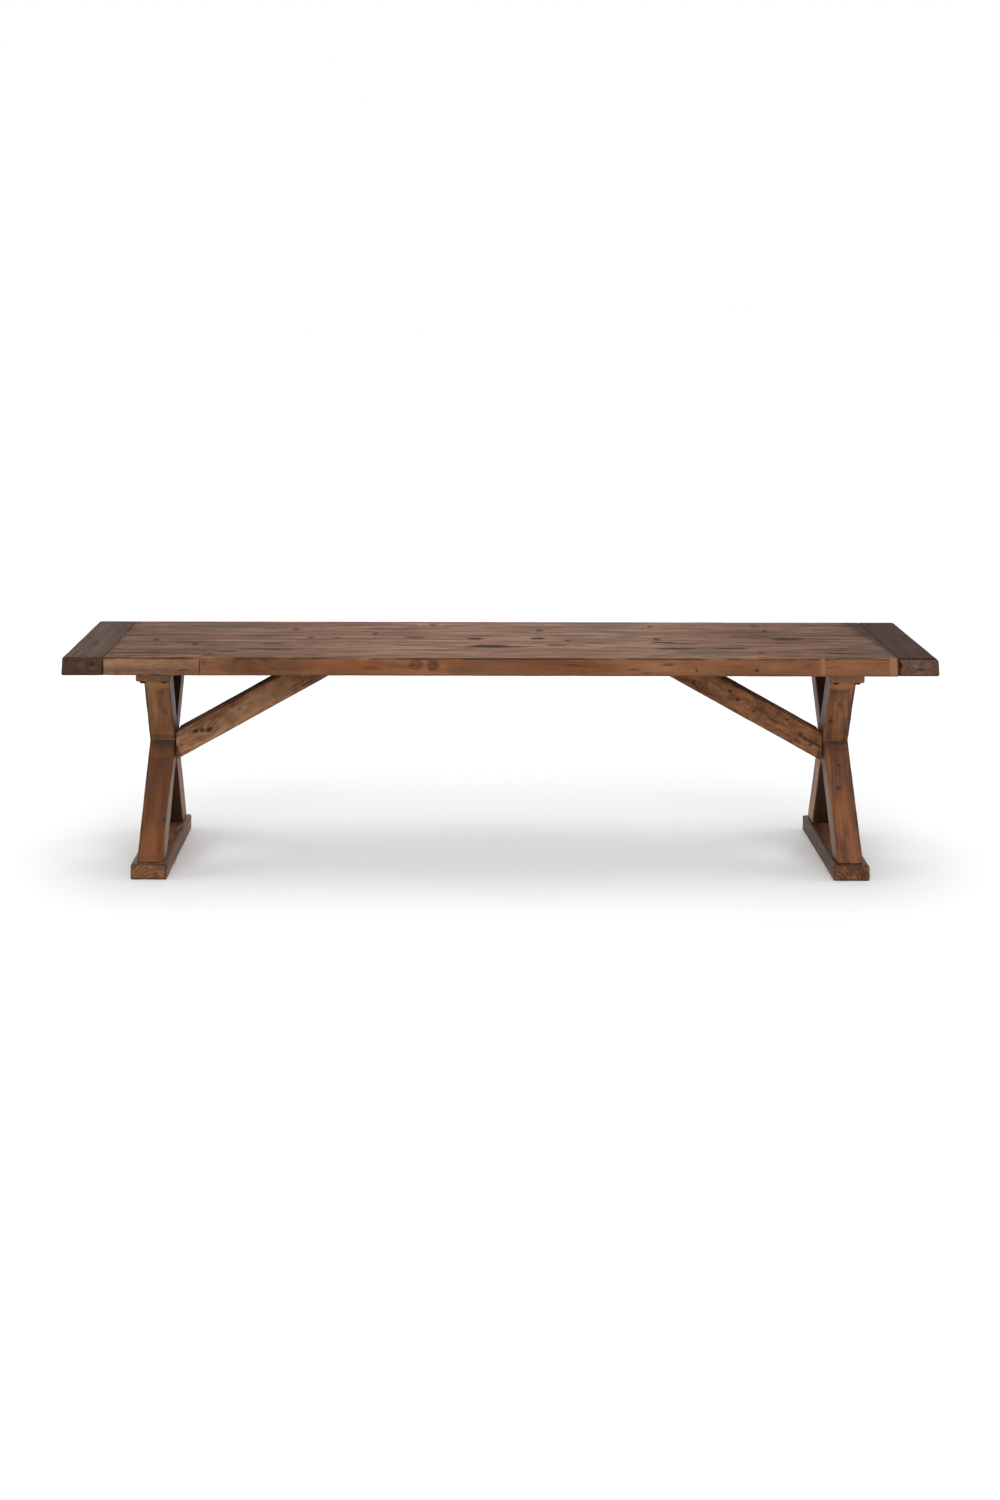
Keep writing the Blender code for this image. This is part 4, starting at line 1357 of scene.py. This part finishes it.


# Marks on the legs' front faces, with painted light that lifts the shade under the crossbars and below the
# crossings: kind, place, half width, stretch, strength
LEG_MARKS = {
    "left_leg_rising_to_front": (
        ("knot", (-0.7035, -0.067, 0.318), 0.0060, 1.3, 0.3),
        # Painted light: the pale wash at the leg's top lifts the shade under the crossbar
        ("wash", (-0.7130, -0.105, 0.3900), 0.0350, 0.5, 0.9),
        ("stain", (-0.7130, -0.032, 0.2535), 0.0400, 0.20, 0.35),
    ),
    "right_leg_rising_to_front": (
        # Painted light: the pale wash at the leg's top lifts the shade under the crossbar
        ("wash", (0.7130, -0.105, 0.3900), 0.0350, 0.5, 0.9),
        ("hole", (0.711, -0.080, 0.340), 0.0024, 1.0, 1.0),
        ("knot", (0.6995, -0.055, 0.2976), 0.0042, 1.3, 1.0),
    ),
    "left_leg_rising_to_back": (
        # Painted light: the pale wash just below the crossing lifts the shade of the other leg
        ("wash", (-0.7130, -0.036, 0.2320), 0.0400, 0.50, 0.45),
        ("knot", (-0.6931, -0.109, 0.105), 0.0040, 1.3, 0.9),
        ("ember", (-0.7200, -0.140, 0.055), 0.0200, 3.0, 0.35),
    ),
    "right_leg_rising_to_back": (
        ("ember", (0.7130, -0.032, 0.2400), 0.0400, 0.14, 0.8),
        # Painted light: the pale wash just below the crossing lifts the shade of the other leg
        ("wash", (0.7130, -0.036, 0.2320), 0.0400, 0.40, 0.3),
        ("hole", (0.7149, -0.051, 0.204), 0.0024, 1.0, 1.0),
        ("knot", (0.7083, -0.075, 0.163), 0.0042, 1.2, 1.0),
        ("knot", (0.7164, -0.122, 0.084), 0.0036, 1.6, 1.0),
        ("ember", (0.7250, -0.140, 0.060), 0.0150, 4.5, 0.45),
        ("ember", (0.7030, -0.110, 0.110), 0.0060, 9.0, 0.45),
    ),
}


# Painted sheen and painted shade tinting the legs' inner sides: kind, share of the way up, strength
INNER_SIDE_LIGHT_AND_SHADE = {
    "left_leg_rising_to_front": [("shade", 0.80, 0.45)],
    "left_leg_rising_to_back": [("bloom", 0.20, 0.50), ("shade", 0.80, 0.30)],
    "right_leg_rising_to_front": [("bloom", 0.20, 0.15)],
    "right_leg_rising_to_back": [("bloom", 0.20, 0.30), ("bloom", 0.80, 0.20)],
}
INNER_LIGHT_HALF_WIDTH = 0.030
INNER_LIGHT_STRETCH = 3.2

# Roundings of the legs' and braces' two ends
LEG_FOOT_ROUNDING = 0.0020
LEG_TOP_ROUNDING = 0.0008
BRACE_FOOT_ROUNDING = 0.0035
BRACE_TOP_ROUNDING = 0.0005

# How far up a leg that rises to the back its front face lies deepest in the other leg's shade, where that
# shade is painted on it
SHADED_SHARE = 0.78


def leg_bar(side, word, rise_to, end_word):
    """A leg between its foot and its top, both cut level."""
    timber = bpy.context.scene.bench_timber
    name = f"{word}_leg_rising_to_{end_word}"
    foot_low, foot_high = face_span(name, 2, False)
    top_low, top_high = face_span(name, 2, True)
    low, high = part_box(name)
    foot_out, top_in = side * timber.leg_lean_foot, -side * timber.leg_lean_top

    def level(y_low, y_high, z, shift):
        left, right = low.x + shift, high.x + shift
        return [(left, y_low, z), (right, y_low, z), (right, y_high, z), (left, y_high, z)]

    start = level(foot_low[1], foot_high[1], low.z, foot_out)
    end = level(top_low[1], top_high[1], high.z, top_in)
    run = (top_low[1] - foot_low[1]) / (high.z - low.z)
    depth = (foot_high[1] - foot_low[1]) / math.hypot(1, run)
    rounding = timber.leg_rounding
    marks = [Mark(kind, at, half_width, stretch, "through", strength)
             for kind, at, half_width, stretch, strength in LEG_MARKS[name]]
    # Painted shade on the front face where the other leg and the seat shade it
    share = SHADED_SHARE if rise_to > 0 else 1 - SHADED_SHARE
    front_foot, front_top = Vector(start[0]), Vector(end[0])
    shaded = front_foot.lerp(front_top, share)
    at = ((low.x + high.x) / 2, shaded.y, shaded.z)
    marks.append(Mark("shade", at, high.x - low.x, 2.1, "through", 0.9))
    # Painted sheen and painted shade on the leg's inner side
    inner = low.x if side > 0 else high.x
    for kind, share, strength in INNER_SIDE_LIGHT_AND_SHADE[name]:
        place = front_foot.lerp(front_top, share)
        at = (inner, place.y + (foot_high[1] - foot_low[1]) / 2, place.z)
        marks.append(Mark(kind, at, INNER_LIGHT_HALF_WIDTH, INNER_LIGHT_STRETCH, "side", strength))
    return Bar(name, start, end, high.x - low.x, depth, seed=SEEDS["leg"] + 3 * side + rise_to,
               roundings=(rounding,) * 4, start_rounding=LEG_FOOT_ROUNDING, end_rounding=LEG_TOP_ROUNDING,
               marks=marks)


def lap_prism(bar, other, low_x, high_x):
    """Cuts a leg where the other one crosses it, over part of its width."""
    spare = plank_gap()
    foot, top = other.start[:, 1], other.end[:, 1]
    foot_z, top_z = other.start[0, 2], other.end[0, 2]
    outline = [(foot.min() - spare, foot_z), (foot.max() + spare, foot_z), (top.max() + spare, top_z),
               (top.min() - spare, top_z)]
    return prism(bar.name + "_lap", outline, 0, low_x, high_x)


class BENCH_OT_legs(bpy.types.Operator):
    """Makes the four legs, half-lapped where each pair crosses"""

    bl_idname = "bench.legs"
    bl_label = "Legs"

    def execute(self, context):
        for side, word in SIDES:
            to_back = leg_bar(side, word, 1, "back")
            to_front = leg_bar(side, word, -1, "front")
            low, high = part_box(to_back.name)
            middle = (low.x + high.x) / 2
            gap = plank_gap()
            beyond = high.x - low.x
            inner_half = sorted((side * (abs(middle) + gap / 2), middle - side * beyond))
            outer_half = sorted((side * (abs(middle) - gap / 2), middle + side * beyond))
            screws = each(word, "lap_screw") + each(word, "brace_end_screw", BRACE_SCREW_LEVELS)
            for bar, other, half in ((to_back, to_front, inner_half), (to_front, to_back, outer_half)):
                sockets = pockets(word + "_leg_pockets", screws, (-side, 0, 0), 0.006)
                make_timber(bar, "trestle_pine", [lap_prism(bar, other, *half), sockets])
        return {"FINISHED"}


def relieve_foot(bar):
    """A prism that cuts the relief under a foot rail, between its two pads."""
    points = node_points(bar.name)
    on_floor = points[points[:, 2] < ON_FACE]
    pad = np.abs(on_floor[:, 1]).min()
    middle = points[np.abs(points[:, 1]) < pad - PAD_SPARE]
    relief = middle[:, 2].min()
    beyond = bar.width
    half = [(pad, -relief), (pad, 0), (pad - relief, relief)]
    outline = [(-y, z) for y, z in half] + half[::-1]
    low_x, high_x = bar.start[:, 0].min() - beyond, bar.start[:, 0].max() + beyond
    return prism(bar.name + "_relief", outline, 0, low_x, high_x)


class BENCH_OT_foot_rails(bpy.types.Operator):
    """Makes the two foot rails, each on a pad at either end"""

    bl_idname = "bench.foot_rails"
    bl_label = "Foot rails"

    def execute(self, context):
        upper, lower = context.scene.bench_timber.rail_rounding, FOOT_LOWER_ROUNDING
        for side, word in SIDES:
            bar = rail_bar(word, "foot_rail", side, (lower, lower, upper, upper), upper)
            screws = each(word, "leg_foot_screw", FRONT_BACK)
            sockets = pockets(word + "_foot_pockets", screws, UPWARDS, 0.02)
            make_timber(bar, "foot_pine", [relieve_foot(bar), sockets])
        return {"FINISHED"}


# Marks on the braces' front faces: kind, x, z, half width, stretch, strength
BRACE_MARKS = {
    "left_brace": (
        ("knot", -0.525, 0.326, 0.0045, 1.4, 1.0),
        ("knot", -0.549, 0.313, 0.0030, 1.4, 0.9),
        ("knot", -0.642, 0.2670, 0.0042, 1.5, 1.0),
        ("knot", -0.628, 0.2690, 0.0038, 1.5, 0.9),
        ("knot", -0.613, 0.2705, 0.0046, 1.5, 1.0),
        ("knot", -0.472, 0.3405, 0.0036, 1.5, 0.9),
        ("knot", -0.477, 0.3490, 0.0034, 1.5, 0.9),
        ("knot", -0.464, 0.3640, 0.0040, 2.0, 0.8),
        ("stain", -0.470, 0.352, 0.0080, 3.0, 0.4),
        ("wash", -0.500, 0.335, 0.0260, 3.2, 0.5),
    ),
    "right_brace": (
        ("knot", 0.412, 0.374, 0.0028, 1.3, 0.9),
        ("knot", 0.488, 0.353, 0.0027, 1.2, 1.0),
        ("knot", 0.505, 0.336, 0.0030, 1.5, 1.0),
        ("knot", 0.539, 0.311, 0.0026, 1.5, 0.9),
        ("knot", 0.552, 0.321, 0.0090, 1.3, 0.4),
        ("knot", 0.609, 0.293, 0.0022, 1.2, 0.9),
        ("knot", 0.637, 0.263, 0.0032, 1.8, 0.9),
        ("knot", 0.658, 0.241, 0.0030, 1.4, 0.8),
    ),
}


def brace_bar(side, word):
    """A brace between its upright cut at the crossing and its level cut under the top."""
    timber = bpy.context.scene.bench_timber
    name = f"{word}_brace"
    foot_low, foot_high = face_span(name, 0, side > 0)
    top_low, top_high = face_span(name, 2, True)
    low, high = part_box(name)
    x = (high.x if side > 0 else low.x) - side * timber.brace_gap
    tip, shoulder = (top_low[0], top_high[0]) if side > 0 else (top_high[0], top_low[0])
    near, far = (high.y, low.y) if side > 0 else (low.y, high.y)
    foot, heel = foot_low[2], foot_high[2]
    start = [(x, near, foot), (x, far, foot), (x, far, heel), (x, near, heel)]
    end = [(tip, near, high.z), (tip, far, high.z), (shoulder, far, high.z), (shoulder, near, high.z)]
    slope = (high.z - foot) / abs(tip - x)
    depth = (heel - foot) / math.hypot(1, slope)
    rounding = timber.leg_rounding
    marks = [Mark(kind, (mark_x, low.y, z), half_width, stretch, "side", strength)
             for kind, mark_x, z, half_width, stretch, strength in BRACE_MARKS[name]]
    return Bar(name, start, end, high.y - low.y, depth, seed=SEEDS["brace"] + side, roundings=(rounding,) * 4,
               start_rounding=BRACE_FOOT_ROUNDING, end_rounding=BRACE_TOP_ROUNDING, marks=marks)


class BENCH_OT_braces(bpy.types.Operator):
    """Makes the two slanting braces"""

    bl_idname = "bench.braces"
    bl_label = "Braces"

    def execute(self, context):
        for side, word in SIDES:
            screws = each(word, "brace_top_screw", BRACE_SCREW_PLACES)
            sockets = pockets(word + "_brace_pockets", screws, UPWARDS, 0.05)
            make_timber(brace_bar(side, word), "brace_pine", [sockets])
        return {"FINISHED"}


# How far from the widest corners a fastener's corners still count as its head's
HEAD_SPARE = 1e-4


def fastener_heads(nodes):
    """Where fasteners stand and where they point, from their solids: heads first, in the nodes' order."""
    spots = []
    for node in nodes:
        low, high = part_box(node)
        middle = (low + high) / 2
        size = high - low
        axis = max(range(3), key=lambda index: size[index])
        points = node_points(node)
        across = [index for index in range(3) if index != axis]
        radii = np.linalg.norm((points - middle)[:, across], axis=1)
        wide = points[radii > radii.max() - HEAD_SPARE][:, axis]
        head_is_low = abs(wide.mean() - low[axis]) < abs(wide.mean() - high[axis])
        head = middle.copy()
        head[axis] = low[axis] if head_is_low else high[axis]
        aim = Vector((0, 0, 0))
        aim[axis] = 1.0 if head_is_low else -1.0
        spots.append((head, aim))
    return spots


def place_fasteners(name, shape, spots, finish, nodes, seed):
    """Sets one shape at every spot through the fastening tree, as one piece that stands for the nodes."""
    one_mesh = bpy.data.meshes.new(name + "_one")
    shape.to_mesh(one_mesh)
    shape.free()
    one = add_object(name + "_one", one_mesh)
    points = bpy.data.meshes.new(name)
    points.from_pydata([tuple(place) for place, _ in spots], [], [])
    aim = points.attributes.new("aim", "FLOAT_VECTOR", "POINT")
    aim.data.foreach_set("vector", np.array([tuple(direction) for _, direction in spots], np.float32).ravel())
    piece = add_object(name, points)
    tree = bpy.data.node_groups.get("set_fasteners") or fastening_tree()
    apply_tree(piece, tree, {"Fastener": one, "Seed": seed, "Finish": finish})
    settle(piece)
    bpy.data.objects.remove(one)
    hand_over(piece, nodes)


def recess(shape, sides, radius, depth):
    """Sinks a drive recess of a few sides into the flat face at a turned shape's low end."""
    low = min(vertex.co.z for vertex in shape.verts)
    face = next(face for face in shape.faces if len(face.verts) > 4
                and all(abs(vertex.co.z - low) < ON_FACE for vertex in face.verts))
    rim = list(face.verts)
    shape.faces.remove(face)
    count = len(rim)
    rim.sort(key=lambda vertex: math.atan2(vertex.co.y, vertex.co.x))
    half = math.pi / sides

    def socket(angle):
        reach = radius * math.cos(half) / math.cos((angle % (2 * half)) - half)
        return Vector((reach * math.cos(angle), reach * math.sin(angle), 0))

    angles = [math.atan2(vertex.co.y, vertex.co.x) for vertex in rim]
    mouth = [shape.verts.new(socket(angle) + Vector((0, 0, low))) for angle in angles]
    floor = [shape.verts.new(socket(angle) + Vector((0, 0, low + depth))) for angle in angles]
    for index in range(count):
        after = (index + 1) % count
        shape.faces.new((rim[index], rim[after], mouth[after], mouth[index]))
        shape.faces.new((mouth[index], mouth[after], floor[after], floor[index]))
    shape.faces.new(floor)
    bmesh.ops.recalc_face_normals(shape, faces=shape.faces)
    return shape


def screw_shape(node):
    """A countersunk screw of a node's length, with its drive recess; its thread is cut as shallow rings."""
    low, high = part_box(node)
    size = sorted(high - low)
    head, total = size[0] / 2, size[2]
    shank = head / 2
    core = shank * 0.86
    pitch, plain, point = 0.0022, 0.012, 0.004
    outline = [(head - 0.0003, 0), (head, 0.0003), (head, 0.0006), (shank, 0.0036)]
    for index in range(int((total - plain - point) / pitch)):
        z = plain + index * pitch
        outline += [(core, z), (shank, z + pitch * 0.45), (core, z + pitch * 0.6)]
    outline += [(core, total - point), (0, total)]
    return recess(turned_shape(outline, 24), 6, head * 0.42, 0.0018)


def bolt_shape(node):
    """A flat-headed connector bolt with a hexagon socket."""
    low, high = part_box(node)
    radius, total = (high.x - low.x) / 2, high.z - low.z
    head, shank, ease = 0.0030, radius * 0.46, 0.0007
    outline = [(radius - ease, 0), (radius - ease * 0.3, ease * 0.3), (radius, ease),
               (radius, head - ease / 2), (radius - ease / 2, head), (shank, head), (shank, total - ease),
               (shank - ease, total), (0, total)]
    return recess(turned_shape(outline, 30), 6, radius * 0.34, 0.0022)


def nail_shape(radius):
    """A cut nail's head with a soft, uneven dome and a short shank."""
    outline = [(0, -0.0006), (0.5, -0.0005), (0.85, -0.0001), (1, 0.0004), (0.9, 0.0009), (0.45, 0.0012),
               (0.4, 0.012), (0, 0.014)]
    shape = turned_shape([(radius * share, height) for share, height in outline], 9)
    chance = random.Random(5)
    for vertex in shape.verts:
        vertex.co.x *= chance.uniform(0.92, 1.08)
        vertex.co.y *= chance.uniform(0.92, 1.08)
    return shape


class BENCH_OT_bolts(bpy.types.Operator):
    """Makes the black connector bolts under the crossbars"""

    bl_idname = "bench.bolts"
    bl_label = "Connector bolts"

    def execute(self, context):
        nodes = each(LEFT_RIGHT, "bolt", FRONT_BACK, ("inner", "outer"))
        finish = metal("black_steel_finish", context.scene.bench_colours.iron, roughness=0.42, metallic=0.85)
        place_fasteners("connector_bolts", bolt_shape(nodes[0]), fastener_heads(nodes), finish,
                        nodes, seed=3)
        return {"FINISHED"}


class BENCH_OT_screws(bpy.types.Operator):
    """Makes the countersunk screws of the trestles and braces"""

    bl_idname = "bench.screws"
    bl_label = "Wood screws"

    def execute(self, context):
        shade = context.scene.bench_colours.yellow_zinc
        finish = metal("yellow_zinc_finish", shade, roughness=0.36, metallic=1.0)
        groups = {
            "leg_top_screws": each(LEFT_RIGHT, "leg_top_screw", FRONT_BACK),
            "leg_foot_screws": each(LEFT_RIGHT, "leg_foot_screw", FRONT_BACK),
            "lap_screws": each(LEFT_RIGHT, "lap_screw"),
            "brace_end_screws": each(LEFT_RIGHT, "brace_end_screw", BRACE_SCREW_LEVELS),
            "brace_top_screws": each(LEFT_RIGHT, "brace_top_screw", BRACE_SCREW_PLACES),
        }
        for seed, (name, nodes) in enumerate(groups.items()):
            place_fasteners(name, screw_shape(nodes[0]), fastener_heads(nodes), finish,
                            nodes, seed)
        return {"FINISHED"}


# Shares across a leg's foot where its nails stand, from the bench's left to its right
NAIL_SHARES = {"left": (0.22, 0.42, 0.58, 0.72), "right": (0.28, 0.60, 0.82)}
NAIL_RADIUS = 0.0017

# How high the nails stand above a foot, how much that varies, and how far they lean to a side and down
NAIL_RISE = 0.0095
NAIL_RISE_SPREAD = 0.001
NAIL_SIDE_LEAN = 0.15
NAIL_DIP = 0.35


class BENCH_OT_nails(bpy.types.Operator):
    """Makes the row of nails at the foot of each leg"""

    bl_idname = "bench.nails"
    bl_label = "Nails"

    def execute(self, context):
        spots = []
        chance = random.Random(11)
        for side, word in SIDES:
            for rise_to, end_word in ((1, "back"), (-1, "front")):
                bar = leg_bar(side, word, rise_to, end_word)
                corners = bar.start[:, 1]
                edge = corners.min() if rise_to > 0 else corners.max()
                run = (bar.end[0, 1] - bar.start[0, 1]) / (bar.end[0, 2] - bar.start[0, 2])
                for share in NAIL_SHARES[word]:
                    rise = NAIL_RISE + chance.uniform(-NAIL_RISE_SPREAD, NAIL_RISE_SPREAD)
                    x = bar.start[:, 0].min() + share * bar.width
                    place = Vector((x, edge + run * rise, bar.start[0, 2] + rise))
                    aim = Vector((chance.uniform(-NAIL_SIDE_LEAN, NAIL_SIDE_LEAN), rise_to, -NAIL_DIP))
                    spots.append((place, aim.normalized()))
        finish = metal("nail_iron", context.scene.bench_colours.iron, roughness=0.55, metallic=0.7)
        place_fasteners("leg_nails", nail_shape(NAIL_RADIUS), spots, finish, [], seed=7)
        return {"FINISHED"}


class BENCH_OT_pegs(bpy.types.Operator):
    """Makes the pegs that lock the tenons from below"""

    bl_idname = "bench.pegs"
    bl_label = "Pegs"

    def execute(self, context):
        nodes = each(LEFT_RIGHT, "breadboard_peg", PEG_PLACES)
        low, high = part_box(nodes[0])
        radius, total, ease = (high.x - low.x) / 2, high.z - low.z, 0.0006
        outline = [(0, -0.0002), (radius - ease, -0.0001), (radius, ease), (radius, total - ease),
                   (radius - ease, total), (0, total)]
        spots = []
        for low, high in map(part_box, nodes):
            middle = (low + high) / 2
            spots.append((Vector((middle.x, middle.y, low.z)), Vector(UPWARDS)))
        finish = peg_beech("peg_beech_finish", context.scene.bench_colours.beech)
        place_fasteners("breadboard_pegs", turned_shape(outline, 18), spots, finish, nodes,
                        seed=5)
        return {"FINISHED"}


class BENCH_OT_inserts(bpy.types.Operator):
    """Gives the threaded inserts, whose solids stay, their plated finish"""

    bl_idname = "bench.inserts"
    bl_label = "Threaded inserts"

    def execute(self, context):
        shade = context.scene.bench_colours.bright_zinc
        finish = metal("bright_zinc_finish", shade, roughness=0.38, metallic=1.0)
        for name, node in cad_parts.items():
            if "_insert_" in name:
                node.data.materials.clear()
                node.data.materials.append(finish)
        return {"FINISHED"}


def floor_finish():
    """A pale floor that takes the bench's shadow; the camera sees it lifted towards white."""
    stage = bpy.context.scene.bench_stage
    made = bpy.data.materials.new("pale_floor")
    made.use_nodes = True
    graph = Graph(made.node_tree)
    made.node_tree.nodes.remove(made.node_tree.nodes["Principled BSDF"])
    out = made.node_tree.nodes["Material Output"]
    plain = graph.node("ShaderNodeBsdfDiffuse", inputs={"Color": stage.floor}).outputs[0]
    seen = graph.node("ShaderNodeBsdfDiffuse", inputs={"Color": stage.floor_seen}).outputs[0]
    strength = stage.floor_lift
    glow = graph.node("ShaderNodeEmission", inputs={"Color": (1, 1, 1), "Strength": strength}).outputs[0]
    lifted = graph.node("ShaderNodeAddShader", inputs={"Shader": seen, "Shader_001": glow}).outputs[0]
    inputs = {"Fac": direct_rays(graph), "Shader": plain, "Shader_001": lifted}
    shown = graph.node("ShaderNodeMixShader", inputs=inputs)
    made.node_tree.links.new(shown.outputs[0], out.inputs["Surface"])
    return made


def direct_rays(graph):
    """1 for rays from the camera, also by way of a reflection or through glass."""
    rays = graph.node("ShaderNodeLightPath").outputs
    mirrored = graph.math("MAXIMUM", rays["Is Glossy Ray"], rays["Is Transmission Ray"])
    return graph.math("MAXIMUM", rays["Is Camera Ray"], mirrored)


def studio_sky():
    """An even white sky, which the camera and reflections see as plain white."""
    stage = bpy.context.scene.bench_stage
    world = bpy.data.worlds.new("studio")
    bpy.context.scene.world = world
    world.use_nodes = True
    graph = Graph(world.node_tree)
    backdrop = world.node_tree.nodes["Background"]
    graph.feed(backdrop.inputs["Color"], (1, 1, 1))
    graph.feed(backdrop.inputs["Strength"], stage.sky_light + direct_rays(graph) * (1 - stage.sky_light))


def distant_lamp(name, to_right, to_back, spread, share):
    """A wide lamp far away, leant from overhead, which gives its share of a white floor's light."""
    lamp = bpy.data.lights.new(name, "SUN")
    lamp.angle = spread
    lamp.energy = share * math.pi / math.cos(to_right) / math.cos(to_back)
    made = add_object(name, lamp)
    made.rotation_euler = (-to_back, to_right, 0)


class BENCH_OT_stage(bpy.types.Operator):
    """Makes the floor, the sky, the lamps and the camera"""

    bl_idname = "bench.stage"
    bl_label = "Stage"

    def execute(self, context):
        stage = context.scene.bench_stage
        half = FLOOR_HALF_SIZE
        floor_mesh = bpy.data.meshes.new("floor")
        floor_mesh.from_pydata([(-half, -half, 0), (half, -half, 0), (half, half, 0), (-half, half, 0)], [],
                               [(0, 1, 2, 3)])
        floor_mesh.materials.append(floor_finish())
        add_object("floor", floor_mesh)
        studio_sky()
        distant_lamp("top_lamp", 0, stage.top_lean, stage.top_spread, stage.top_light)
        distant_lamp("front_lamp", 0, -stage.front_lean, stage.front_spread, stage.front_light)
        distant_lamp("back_lamp", 0, stage.back_lean, stage.back_spread, stage.back_light)
        for side, word in SIDES:
            distant_lamp(word + "_lamp", side * stage.side_lean, 0, stage.side_spread, stage.side_light)
        lens = bpy.data.cameras.new("photograph")
        lens.sensor_fit = "AUTO"
        lens.sensor_width = SENSOR_WIDTH
        lens.lens = FOCAL_PIXELS / PHOTO_HEIGHT * lens.sensor_width
        lens.shift_x = (PHOTO_WIDTH / 2 - AXIS_PIXEL[0]) / PHOTO_HEIGHT
        lens.shift_y = -(PHOTO_HEIGHT / 2 - AXIS_PIXEL[1]) / PHOTO_HEIGHT
        camera = add_object("photograph", lens)
        camera.location = stage.camera_place
        camera.rotation_euler = (math.pi / 2, stage.camera_roll, 0)
        context.scene.camera = camera
        context.scene.view_settings.view_transform = "Standard"
        return {"FINISHED"}


class BENCH_PT_sidebar(bpy.types.Panel):
    """Lists the bench's pieces and settings in the 3D view's sidebar."""

    bl_idname = "BENCH_PT_sidebar"
    bl_label = "Reclaimed Pine Bench"
    bl_space_type = "VIEW_3D"
    bl_region_type = "UI"
    bl_category = "Bench"

    def draw(self, context):
        for group in (context.scene.bench_timber, context.scene.bench_colours, context.scene.bench_stage):
            box = self.layout.box()
            for name in group.bl_rna.properties.keys():
                if name not in ("rna_type", "name"):
                    box.prop(group, name)
        for operator in PIECE_OPERATORS:
            self.layout.operator(operator.bl_idname)


PIECE_OPERATORS = (
    BENCH_OT_seat_planks,
    BENCH_OT_breadboard_ends,
    BENCH_OT_crossbars,
    BENCH_OT_legs,
    BENCH_OT_foot_rails,
    BENCH_OT_braces,
    BENCH_OT_bolts,
    BENCH_OT_screws,
    BENCH_OT_nails,
    BENCH_OT_pegs,
    BENCH_OT_inserts,
    BENCH_OT_stage,
)
SETTINGS = {
    "bench_timber": BenchTimberSettings,
    "bench_colours": BenchColourSettings,
    "bench_stage": BenchStageSettings,
}


def register():
    for kind in (*SETTINGS.values(), *PIECE_OPERATORS, BENCH_PT_sidebar):
        bpy.utils.register_class(kind)
    for name, kind in SETTINGS.items():
        setattr(bpy.types.Scene, name, PointerProperty(type=kind))


def unregister():
    for name in SETTINGS:
        delattr(bpy.types.Scene, name)
    for kind in reversed((*SETTINGS.values(), *PIECE_OPERATORS, BENCH_PT_sidebar)):
        bpy.utils.unregister_class(kind)


def main():
    register()
    for operator in PIECE_OPERATORS:
        family, name = operator.bl_idname.split(".")
        getattr(getattr(bpy.ops, family), name)()


if __name__ == "__main__":
    main()
